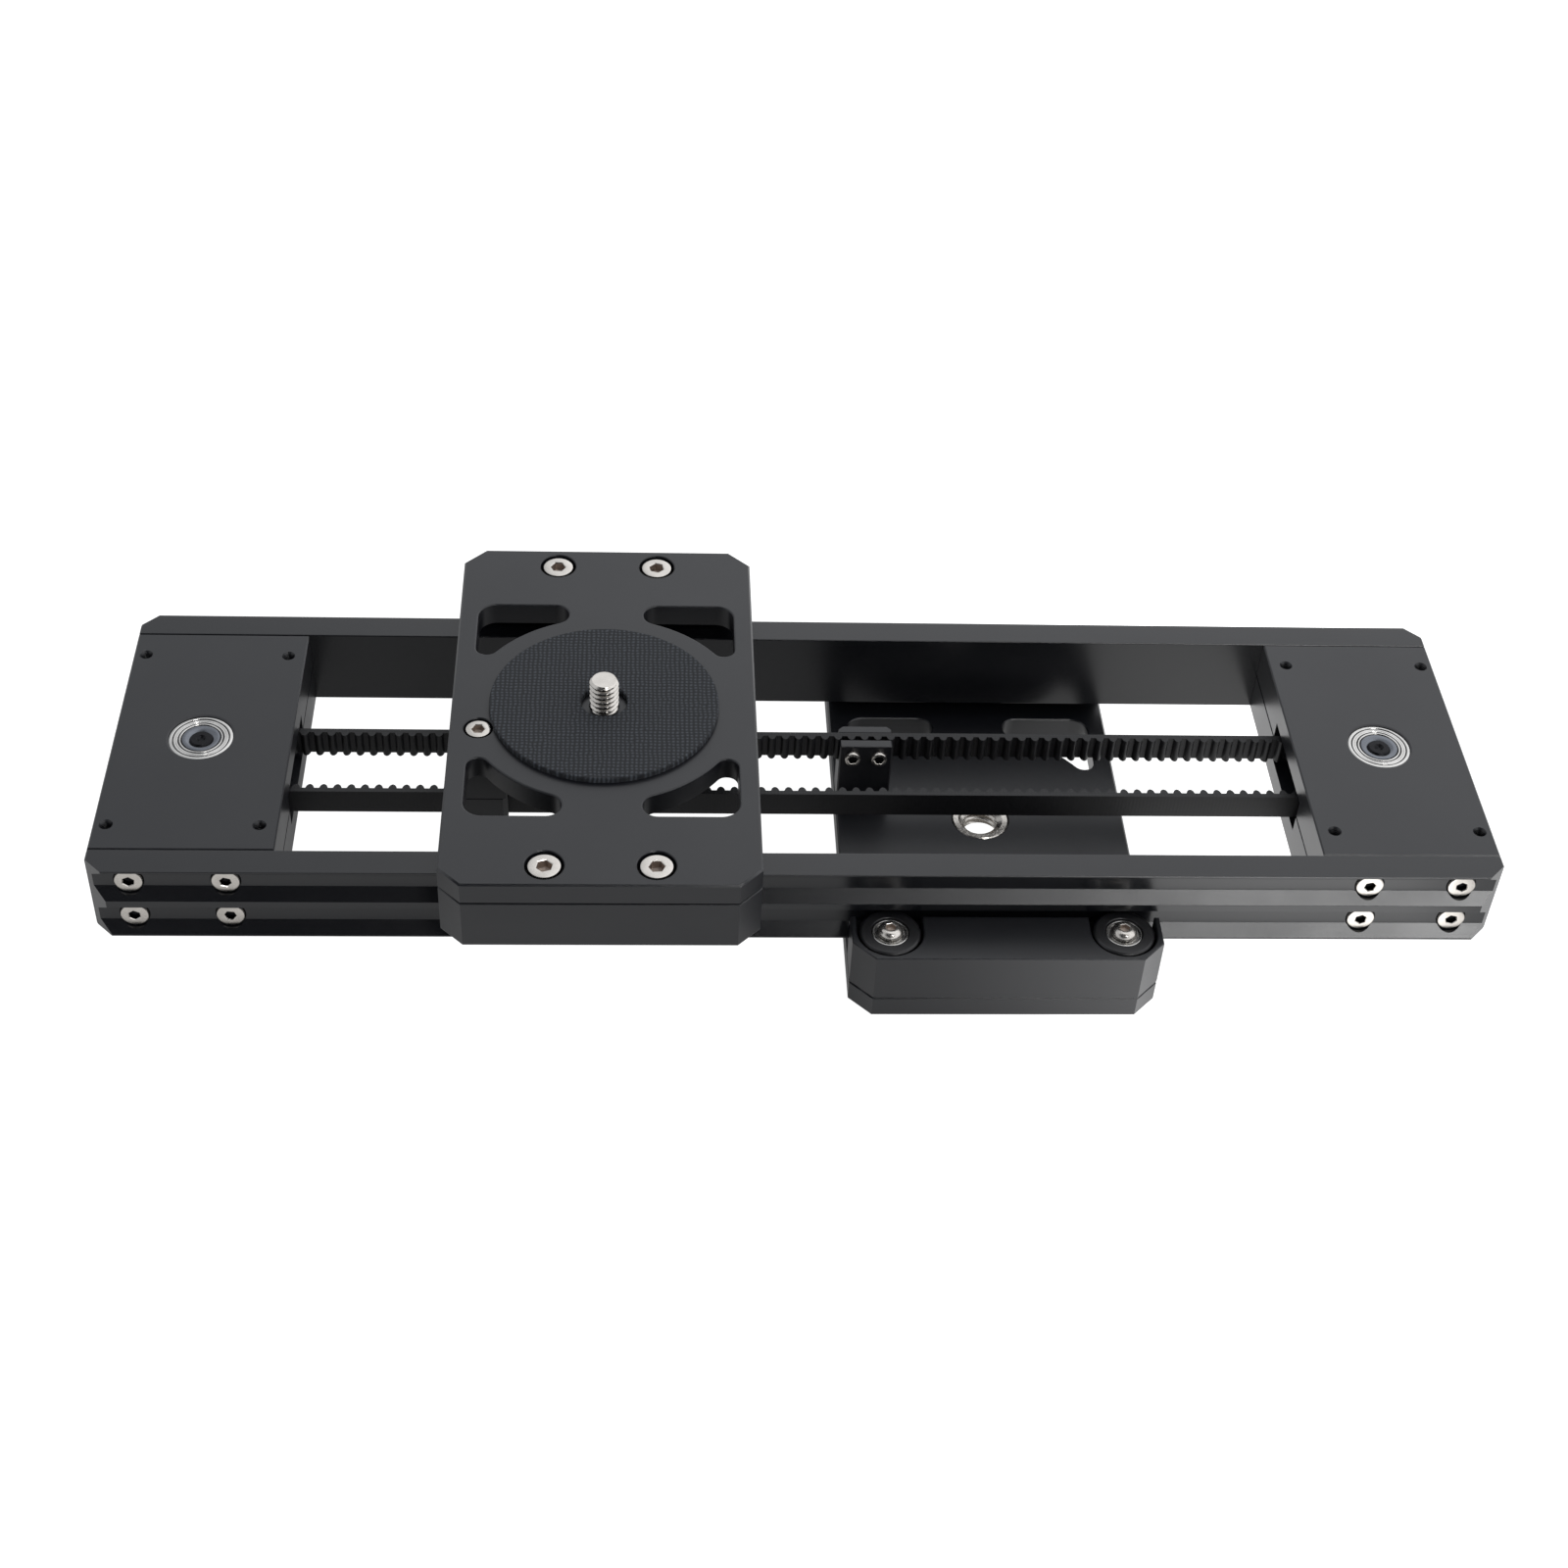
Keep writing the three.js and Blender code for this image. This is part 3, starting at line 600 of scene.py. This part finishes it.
def bearing_gap_shade_part():
    """Painted shade in the gaps and grooves between a bearing's rings: dark rings set in them."""
    rings = []
    for inner, outer, top in ((4.17, 4.37, -0.3), (4.79, 5.04, -0.12), (6.0, 6.24, -0.12)):
        rings.append(spun([(inner, top - 0.2), (inner, top), (outer, top), (outer, top - 0.2)], FINE, True))
    return rings


def inner_ring_part():
    """The ring of an axle bearing that turns with the axle."""
    back = -BEARING_WIDTH
    profile = [
        (2.52, back), (2.52, -0.5), (3.1, -0.12), (3.4, -0.04), (3.95, -0.04), (4.08, -0.1), (4.15, -0.3),
        (4.15, back),
    ]
    return spun(profile, FINE, True)


def build_ends():
    parts, cuts = end_plate_parts()
    seat = at(AXLE_X, 0, RAIL_BOTTOM + BEARING_RECESS) @ turned(180, "X")
    bearing = moved(axle_bearing_part(), seat)
    inner_ring = moved(inner_ring_part(), seat)
    gap_shades = [moved(ring, seat) for ring in bearing_gap_shade_part()]
    for side in ("left", "right"):
        for row in ("lower", "upper"):
            place = at()
            if side == "left":
                place = turned(180, "Z")
            if row == "upper":
                place = at(0, 0, FULL_HEIGHT) @ turned(180, "X") @ place
            piece(f"{row}_end_plate_{side}_block", parts, BLACK_PLATE, "rail", [f"{row}_end_plate_{side}"],
                  cuts, place)
            piece(f"{row}_axle_bearing_{side}_ring", [bearing], BEARING_STEEL, "rail",
                  [f"{row}_axle_bearing_{side}"], (), place)
            # Dark rings paint the shade in the bearing's gaps.
            piece(f"{row}_bearing_gap_shade_{side}", gap_shades, BELT_RUBBER, "rail", [], (), place)
            piece(f"{row}_inner_ring_{side}", [inner_ring], GROUND_STEEL, f"pulley_{side}", [],
                  (), place)


# ---------------------------------------------------------------- belt and pulleys

def loop_point(distance, radius):
    """A place on the belt's loop, from the left tangent point of the front run."""
    run = 2 * AXLE_X
    half = math.pi * PITCH_RADIUS
    s = distance % (2 * (run + half))
    if s < run:
        return s - AXLE_X, -radius
    if s < run + half:
        angle = (s - run) / PITCH_RADIUS - math.pi / 2
        return AXLE_X + radius * math.cos(angle), radius * math.sin(angle)
    if s < 2 * run + half:
        return AXLE_X - (s - run - half), radius
    angle = (s - 2 * run - half) / PITCH_RADIUS + math.pi / 2
    return -AXLE_X + radius * math.cos(angle), radius * math.sin(angle)


def belt_part():
    """The belt as a band with round teeth inside."""
    tooth = []
    for i in range(9):
        t = i / 8
        tooth.append((-0.95 + 1.9 * t, BELT_TOOTH * math.sin(math.pi * t) ** 0.62))
    inside, outside = [], []
    for number in range(BELT_TEETH):
        for along, rise in tooth:
            distance = number * BELT_PITCH + along
            inside.append(loop_point(distance, BELT_INNER - rise))
            outside.append(loop_point(distance, BELT_OUTER))
    low, high = BELT_LOW.z, BELT_HIGH.z
    return shell([level(inside, low), level(outside, low), level(outside, high), level(inside, high)], True)


def pulley_parts(first_groove):
    """A toothed core between two flanges."""
    core = []
    for number in range(PULLEY_TEETH):
        centre = first_groove + TURN * number / PULLEY_TEETH
        for i in range(11):
            t = i / 10
            angle = centre + (t - 0.5) * 2.5 / BELT_INNER
            radius = BELT_INNER - 0.08 - (BELT_TOOTH + 0.05) * math.sin(math.pi * t) ** 0.55
            core.append((radius * math.cos(angle), radius * math.sin(angle)))
    rim = FLANGE_RADIUS
    flange = [
        (rim - 0.35, FLANGE_INNER), (rim, FLANGE_INNER + 0.15),
        (rim, FLANGE_OUTER - 0.15), (rim - 0.2, FLANGE_OUTER),
    ]
    upper = spun(flange, ROUND)
    reach = FLANGE_INNER + 0.1
    return [prism(core, -reach, reach), upper, moved(upper, turned(180, "X"))]


def build_drive():
    piece("drive_belt_loop", [belt_part()], BELT_RUBBER, "rail", ["drive_belt"], (), None, 50)
    late = math.ceil(2 * AXLE_X / BELT_PITCH) * BELT_PITCH - 2 * AXLE_X
    for side, x, first in (("left", -AXLE_X, 0.0), ("right", AXLE_X, late)):
        parts = pulley_parts(first / PITCH_RADIUS - math.pi / 2)
        piece(f"pulley_{side}_wheel", parts, PULLEY_METAL, f"pulley_{side}", [f"pulley_{side}"],
              (), at(x, 0, RAIL_MIDDLE))
        end = (RAIL_TOP - RAIL_BOTTOM) / 2 - 0.4
        axle = [
            (0.5, -end + 0.5), (1.1, -end), (AXLE_RADIUS - 0.3, -end), (AXLE_RADIUS, -end + 0.3),
            (AXLE_RADIUS, end - 0.3), (AXLE_RADIUS - 0.3, end), (1.1, end), (0.5, end - 0.5),
        ]
        piece(f"pulley_{side}_axle", [spun(axle, SMALL)], DARK_STEEL, f"pulley_{side}", [],
              (), at(x, 0, RAIL_MIDDLE))


# ---------------------------------------------------------------- base and upper carriage

PLATE_LOW, PLATE_HIGH = span("base_plate")
PLATE_LENGTH = PLATE_HIGH.x - PLATE_LOW.x
PLATE_WIDTH = PLATE_HIGH.y - PLATE_LOW.y
BLOCK_LOW, BLOCK_HIGH = span("base_block_back")
WHEEL_LOW, WHEEL_HIGH = span("base_wheel_back_right")
WHEEL_X = (WHEEL_LOW.x + WHEEL_HIGH.x - PLATE_LOW.x - PLATE_HIGH.x) / 2
WHEEL_Y = (WHEEL_LOW.y + WHEEL_HIGH.y) / 2
WHEEL_TOP = WHEEL_HIGH.z
WHEEL_RADIUS = 6.6
WHEEL_BORE = 4.0
RECESS_FLOOR = WHEEL_LOW.z - 0.3
BLOCK_SCREW_X = 11.45
BLOCK_SCREW_Y = PLATE_WIDTH / 2 - 5.9
CLAMP_LOW, CLAMP_HIGH = span("base_clamp_body")
CLAMP_X = (CLAMP_LOW.x + CLAMP_HIGH.x - PLATE_LOW.x - PLATE_HIGH.x) / 2
CLAMP_HALF = (CLAMP_HIGH.x - CLAMP_LOW.x) / 2
JAW_BACK, CLAMP_BACK = CLAMP_LOW.y, CLAMP_HIGH.y
JAW_FACE = JAW_BACK + 2.3
CLAMP_SCREW_Y = (span("base_clamp_screw")[0].y + span("base_clamp_screw")[1].y) / 2
CLAMP_FOOT = span("base_clamp_plate")[0].z
CORNERS = [(-1, -1), (1, -1), (-1, 1), (1, 1)]


def pocket_outline(sx, sy):
    """One pocket beside the pad, between a round end near the middle line and one near the side."""
    ring = PAD_RADIUS + 5.6
    along, across = ring - 1.7, ring + 4.3
    corner, inner, lower = 4.0, 3.2, 2.4
    inner_y = across - inner
    inner_x = math.sqrt((ring + inner) ** 2 - inner_y**2)
    lower_x = along - lower
    lower_y = math.sqrt((ring + lower) ** 2 - lower_x**2)
    inner_angle = math.atan2(inner_y, inner_x)
    lower_angle = math.atan2(lower_y, lower_x)
    outline = arc(0, 0, ring, inner_angle, lower_angle, 28)[:-1]
    outline += arc(lower_x, lower_y, lower, lower_angle + math.pi, TURN, 14)
    outline += arc(along - corner, across - corner, corner, 0, math.pi / 2, 12)
    outline += arc(inner_x, inner_y, inner, math.pi / 2, inner_angle + math.pi, 14)[:-1]
    outline = [(sx * x, sy * y) for x, y in outline]
    area = sum(a[0] * b[1] - b[0] * a[1] for a, b in zip(outline, outline[1:] + outline[:1]))
    return outline if area > 0 else outline[::-1]


def counterbore(radius, depth, bore, x, y):
    """A cutter for a screw hole in the plate's outer face, which is at z = 0."""
    profile = [(radius + 1.2, -1), (radius, 0.2), (radius, depth), (bore, depth), (bore, PLATE_THICKNESS + 1)]
    return moved(spun(profile, 48), at(x, y))


def plate_parts(centre_hole):
    outline = chamfered_rectangle(PLATE_LENGTH, PLATE_WIDTH, PLATE_CORNER)
    body = soft_prism(outline, 0, PLATE_THICKNESS, 0.4, 1)
    pockets = []
    for sx, sy in CORNERS:
        pocket = pocket_outline(sx, sy)
        rim = [(POCKET_EDGE + 0.3, -0.05)] + [
            (POCKET_EDGE * (1 - math.sin(a)), POCKET_EDGE * (1 - math.cos(a)))
            for a in (math.pi / 8 * i for i in range(5))
        ]
        rings = [level(offset(pocket, out), z) for out, z in rim]
        rings.append(level(pocket, PLATE_THICKNESS - 0.25))
        rings.append(level(offset(pocket, 1.25), PLATE_THICKNESS + 1))
        pockets.append(shell(rings))
    holes = [counterbore(4.1, 3.4, 2.15, sx * BLOCK_SCREW_X, sy * BLOCK_SCREW_Y) for sx, sy in CORNERS]
    holes.append(counterbore(3.2, 2.6, 1.65, CLAMP_X, CLAMP_SCREW_Y))
    centre = [(centre_hole / 2, -1), (centre_hole / 2, PLATE_THICKNESS + 1)]
    holes.append(spun(centre, ROUND))
    return [body], [pockets, holes]


def block_parts():
    """The block along one edge of the plate, on the +Y side."""
    x, y, inner = PLATE_LENGTH / 2, PLATE_WIDTH / 2, BLOCK_LOW.y
    outline = [
        (-x, inner), (x, inner), (x, y - PLATE_CORNER), (x - PLATE_CORNER, y),
        (PLATE_CORNER - x, y), (-x, y - PLATE_CORNER),
    ]
    body = soft_prism(outline, BLOCK_LOW.z, BLOCK_HIGH.z, 0.35)
    top = BLOCK_HIGH.z
    tools = []
    for sx in (-1, 1):
        walls = [
            level(recess_outline(sx * WHEEL_X, inner - 3, radius), z)
            for radius, z in ((7.1, RECESS_FLOOR), (7.1, top - 0.25), (8.35, top + 1))
        ]
        tools.append(shell(walls))
    return [body], [tools]


def recess_outline(x, inner, radius):
    """A wheel's recess, round at its outer end and open towards the rail."""
    return [(x - radius, inner), (x + radius, inner)] + arc(x, WHEEL_Y, radius, 0, math.pi, 40)


def wheel_parts():
    """A V-wheel about the origin."""
    half = (WHEEL_TOP - WHEEL_LOW.z) / 2
    tip = half - 0.46
    profile = [
        (WHEEL_BORE, -half + 0.15), (WHEEL_BORE + 0.15, -half), (5.95, -half), (6.14, -half + 0.06),
        (WHEEL_RADIUS - 0.06, -tip - 0.06), (WHEEL_RADIUS, -tip + 0.06),
        (WHEEL_RADIUS, tip - 0.06), (WHEEL_RADIUS - 0.06, tip + 0.06),
        (6.14, half - 0.06), (5.95, half), (WHEEL_BORE + 0.15, half), (WHEEL_BORE, half - 0.15),
    ]
    return [spun(profile, FINE, True)]


def wheel_bearing_parts(top):
    """The wheel's ball bearing, with its face at a height."""
    profile = [
        (1.58, top - 4), (1.58, top - 0.05), (1.7, top), (2.1, top), (2.14, top - 0.22), (2.36, top - 0.22),
        (2.42, top - 0.15), (3.05, top - 0.2), (3.1, top - 0.5), (3.36, top - 0.5),
        (3.36, top - 0.2), (3.44, top - 0.06), (3.56, top), (3.74, top), (3.86, top - 0.06),
        (3.95, top - 0.2), (3.98, top - 0.35), (3.98, top - 4),
    ]
    return [spun(profile, FINE, True)]


def clamp_parts():
    """The clamp's foot and jaw in one, drawn as a section across the rail and carried along it."""
    foot_top, jaw_top = CLAMP_FOOT - 0.02, BELT_HIGH.z
    section = filleted([
        (JAW_BACK, BLOCK_LOW.z, 0), (CLAMP_BACK, BLOCK_LOW.z, 0), (CLAMP_BACK, foot_top, 0.2),
        (JAW_FACE, foot_top, 0.1), (JAW_FACE, jaw_top, 0.2), (JAW_BACK, jaw_top, 0.3),
    ], 3)
    edge = 0.3
    rings = [
        [(x, y, z) for y, z in offset(section, inset)]
        for x, inset in (
            (-CLAMP_HALF, -edge), (edge - CLAMP_HALF, 0), (CLAMP_HALF - edge, 0), (CLAMP_HALF, -edge),
        )
    ]
    return [shell(rings)]


def clamp_plate_parts():
    half, corner = CLAMP_HALF, 1.0
    face = span("base_clamp_plate")[0].y
    outline = [
        (-half, face), (half, face), (half, CLAMP_BACK - corner), (half - corner, CLAMP_BACK),
        (corner - half, CLAMP_BACK), (-half, CLAMP_BACK - corner),
    ]
    return [soft_prism(outline, CLAMP_FOOT, BELT_HIGH.z, 0.2, 2)]


def build_group(name, place, centre_hole):
    """What the base and the upper carriage share. The base stands on its plate's outer face, at z = 0."""
    plate, plate_cuts = plate_parts(centre_hole)
    piece(f"{name}_plate_body", plate, BLACK_PLATE, name, [f"{name}_plate"],
          plate_cuts, place)
    clamp = place @ at(CLAMP_X)
    piece(f"{name}_clamp_jaw", clamp_parts(), BLACK_PLATE, name, [f"{name}_clamp_body"],
          (), clamp)
    piece(f"{name}_clamp_cap", clamp_plate_parts(), BLACK_PLATE, name, [f"{name}_clamp_plate"],
          (), clamp)
    pinch = socket_screw(3.6, 1.3, 2.0, 1.6, 6, 0.3)
    for end, sx in (("left", -1), ("right", 1)):
        # The screw's socket gets painted shade.
        piece(f"{name}_pinch_screw_{end}", [pinch], STAINLESS, name, [], (),
              clamp @ at(3 * sx, JAW_BACK - 1.3, RAIL_MIDDLE) @ turned(90, "X"),
              painted_shade=socket_painted_shade(1.3, 2.0, DARK_STEEL))
    foot = socket_screw(5.5, 2.4, 2.5, 3, 8, 0.3)
    # The screw's socket gets painted shade.
    piece(f"{name}_clamp_foot_screw", [foot], STAINLESS, name, [f"{name}_clamp_screw"], (),
          clamp @ at(0, CLAMP_SCREW_Y, 0.2) @ turned(180, "X"), painted_shade=socket_painted_shade(2.4, 2.5, SHADED_SOCKET_STEEL))
    block, block_cuts = block_parts()
    screw = socket_screw(7, 3.2, 3, 4, 10, 0.45)
    bolt = button_screw(5.5, 1.65, 2, 3, 11)
    half = (WHEEL_TOP - WHEEL_LOW.z) / 2
    spacer_top = WHEEL_TOP - 4.32
    spacer = [(1.6, RECESS_FLOOR), (1.6, spacer_top), (2.3, spacer_top), (2.3, RECESS_FLOOR)]
    turned_over = name == "carriage"
    for sy in (1, -1):
        side = "back" if (sy > 0) != turned_over else "front"
        spin = at() if sy > 0 else turned(180, "Z")
        piece(f"{name}_block_{side}_body", block, BLACK_PLATE, name, [f"{name}_block_{side}"],
              block_cuts, place @ spin)
        for end, sx in (("left", -1), ("right", 1)):
            label = f"{side}_{end}"
            # The screw's socket gets painted shade.
            piece(f"{name}_plate_screw_{label}", [screw], STAINLESS, name, [f"{name}_block_screw_{label}"],
                  (),
                  place @ at(sx * BLOCK_SCREW_X, sy * BLOCK_SCREW_Y, 0.2) @ turned(180, "X")
                  @ turned(23 * sx + 41 * sy, "Z"), painted_shade=socket_painted_shade(3.2, 3, SHADED_SOCKET_STEEL))
            wheel = f"{name}_wheel_{label}"
            hub = place @ at(sx * WHEEL_X, sy * WHEEL_Y)
            piece(f"{wheel}_tyre", wheel_parts(), WHEEL_PLASTIC, wheel, [wheel], (),
                  hub @ at(0, 0, WHEEL_TOP - half))
            piece(f"{wheel}_bearing", wheel_bearing_parts(half - 0.3), BEARING_STEEL, wheel, [],
                  (), hub @ at(0, 0, WHEEL_TOP - half))
            piece(f"{name}_wheel_spacer_{label}", [spun(spacer, SMALL, True)], BEARING_STEEL, name, [],
                  (), hub)
            # The bolt's socket gets painted shade.
            piece(f"{name}_axle_bolt_{label}", [bolt], STAINLESS, name, [f"{name}_wheel_bolt_{label}"],
                  (), hub @ at(0, 0, WHEEL_TOP - 0.3) @ turned(31 * sx + 17 * sy, "Z"),
                  painted_shade=(SHADED_SOCKET_STEEL, 1.25, 0.3, 1.58))


def build_mounts(base, carriage):
    """The tripod bushing, the camera pad and the camera stud."""
    low, high = span("tripod_bushing")
    outer, bore = (high.x - low.x) / 2, 9.525 / 2
    wall = threaded(bore, 0.95, 1.5875, 0.6, PLATE_THICKNESS - 0.6, ROUND, 0)
    rings = [
        level(circle(outer - 0.2, ROUND), 0), level(circle(outer, ROUND), 0.2),
        level(circle(outer, ROUND), PLATE_THICKNESS - 0.2),
        level(circle(outer - 0.2, ROUND), PLATE_THICKNESS),
        level(circle(bore + 0.3, ROUND), PLATE_THICKNESS),
    ]
    rings += wall[::-1] + [level(circle(bore + 0.3, ROUND), 0)]
    piece("tripod_bushing_thread", [shell(rings, True)], STAINLESS, "base", ["tripod_bushing"],
          (), base, 25)

    pad_low, pad_high = span("camera_pad")
    thickness = pad_high.z - pad_low.z
    profile = [
        (5.0, 0), (5.0, thickness - 0.25), (5.25, thickness), (24.6, thickness), (24.85, thickness - 0.08),
        (PAD_RADIUS, thickness - 0.3), (PAD_RADIUS, 0),
    ]
    place = at(carriage.translation.x, 0, pad_low.z)
    piece("camera_pad_disc", [spun(profile, 128, True)], PAD_RUBBER, "carriage", ["camera_pad"],
          (), place)

    stud_low, stud_high = span("camera_stud")
    radius, root = 6.35 / 2, 0.72
    rings = [level(circle(radius - 0.75, 48), stud_low.z), level(circle(radius - 0.1, 48), pad_low.z - 1)]
    rings += threaded(radius, root, 1.27, pad_low.z - 0.6, stud_high.z - 0.05, 48, 0.5)
    rings.append(level(circle(radius - 0.55, 48), stud_high.z))
    # The thread valleys get painted shade, with some oil in them: dark steel on the faces near the thread's
    # root.
    piece("camera_stud_thread", [shell(rings)], STAINLESS, "carriage", ["camera_stud"], (),
          at(carriage.translation.x), 25, (DARK_STEEL, radius - root + 0.2, pad_low.z, stud_high.z - 0.3))


base_place = at((PLATE_LOW.x + PLATE_HIGH.x) / 2)
carriage_low, carriage_high = span("carriage_plate")
carriage_place = at((carriage_low.x + carriage_high.x) / 2, 0, FULL_HEIGHT) @ turned(180, "X")

build_rail()
build_ends()
build_drive()
build_group("base", base_place, 13.3)
build_group("carriage", carriage_place, 6.65)
build_mounts(base_place, carriage_place)


# ---------------------------------------------------------------- floor, light and camera

WALLS_LEFT = (0.78, 0.80, 0.83)
WALLS_RIGHT = (1.36, 1.38, 1.42)
SHADE = (0.06, 0.06, 0.065)
SOFTBOX = (14.0, 14.0, 14.0)


def calculated(tree, operation, *values):
    """A sum worked out on one or two values."""
    node = tree.nodes.new("ShaderNodeMath")
    node.operation = operation
    for value, socket in zip(values, node.inputs):
        tree.links.new(value, socket)
    return node.outputs["Value"]


def sized(tree, value):
    return calculated(tree, "ABSOLUTE", value)


def ranged(tree, value, source, target):
    """A value eased from one range to another."""
    node = tree.nodes.new("ShaderNodeMapRange")
    node.interpolation_type = "SMOOTHSTEP"
    node.inputs["From Min"].default_value, node.inputs["From Max"].default_value = source
    node.inputs["To Min"].default_value, node.inputs["To Max"].default_value = target
    tree.links.new(value, node.inputs["Value"])
    return node.outputs["Result"]


def build_floor():
    """White paper. Seen in the object, it is brighter towards the key light and shaded under the rail."""
    mesh = bpy.data.meshes.new("floor")
    reach = 3.0
    mesh.from_pydata([(-reach, -reach, 0), (reach, -reach, 0), (reach, reach, 0), (-reach, reach, 0)], [],
                     [(0, 1, 2, 3)])
    floor = bpy.data.objects.new("floor", mesh)
    bpy.context.scene.collection.objects.link(floor)
    floor.location.z = -0.0002
    material, tree, surface = new_material("floor_paper", (0.2, 0.2, 0.2), 0.0, 0.8)
    surface.inputs["Emission Color"].default_value = (1, 1, 1, 1)
    where = tree.nodes.new("ShaderNodeTexCoord")
    across = tree.nodes.new("ShaderNodeSeparateXYZ")
    tree.links.new(where.outputs["Object"], across.inputs["Vector"])
    glow = ranged(tree, across.outputs["X"], (0.015, 0.115), (0.56, 2.4))
    # Painted shade in the floor's glow: darker past the rail's right end, and darker under the rail except
    # past its ends.
    far = ranged(tree, across.outputs["X"], (0.135, 0.165), (1.0, 0.35))
    beside = ranged(tree, sized(tree, across.outputs["Y"]), (0.044, 0.060), (0.55, 1.0))
    beyond = ranged(tree, sized(tree, across.outputs["X"]), (0.148, 0.165), (0.55, 1.0))
    clear = calculated(tree, "MAXIMUM", beside, beyond)
    reflected = calculated(tree, "MULTIPLY", calculated(tree, "MULTIPLY", glow, far), clear)
    seen = tree.nodes.new("ShaderNodeLightPath").outputs["Is Camera Ray"]
    tree.links.new(calculated(tree, "MAXIMUM", reflected, seen), surface.inputs["Emission Strength"])
    mesh.materials.append(material)


def patch(tree, where, direction, inner, outer):
    """1 within an angle of a direction, in degrees, easing to 0 at a wider one."""
    product = tree.nodes.new("ShaderNodeVectorMath")
    product.operation = "DOT_PRODUCT"
    product.inputs[1].default_value = Vector(direction).normalized()
    tree.links.new(where, product.inputs[0])
    edges = (math.cos(math.radians(outer)), math.cos(math.radians(inner)))
    return ranged(tree, product.outputs["Value"], edges, (0, 1))


def build_light():
    """A white studio with a dark stretch above the camera and a softbox to the right of it."""
    world = bpy.data.worlds.new("studio")
    bpy.context.scene.world = world
    world.use_nodes = True
    tree = world.node_tree
    where = tree.nodes.new("ShaderNodeTexCoord").outputs["Generated"]
    across = tree.nodes.new("ShaderNodeSeparateXYZ")
    tree.links.new(where, across.inputs["Vector"])
    walls = blend(tree, ranged(tree, across.outputs["X"], (-0.28, 0.12), (0, 1)), WALLS_LEFT, WALLS_RIGHT)
    shaded = blend(tree, patch(tree, where, (-0.12, -0.69, 0.72), 26, 46), walls, SHADE)
    lit = blend(tree, patch(tree, where, (0.29, -0.68, 0.69), 3, 7.5), shaded, SOFTBOX)
    tree.links.new(lit, tree.nodes["Background"].inputs["Color"])


def build_camera():
    data = bpy.data.cameras.new("camera")
    data.sensor_width = 36
    data.lens = 56.07
    camera = bpy.data.objects.new("camera", data)
    bpy.context.scene.collection.objects.link(camera)
    pitch_down, heading, roll = 42.58, 4.57, 3.47
    camera.matrix_world = (
        at(-0.0350, -0.4048, 0.3892) @ turned(-heading, "Z")
        @ turned(90 - pitch_down, "X") @ turned(roll, "Z")
    )
    bpy.context.scene.camera = camera


build_floor()
build_light()
build_camera()
bpy.context.scene.view_settings.view_transform = "Standard"
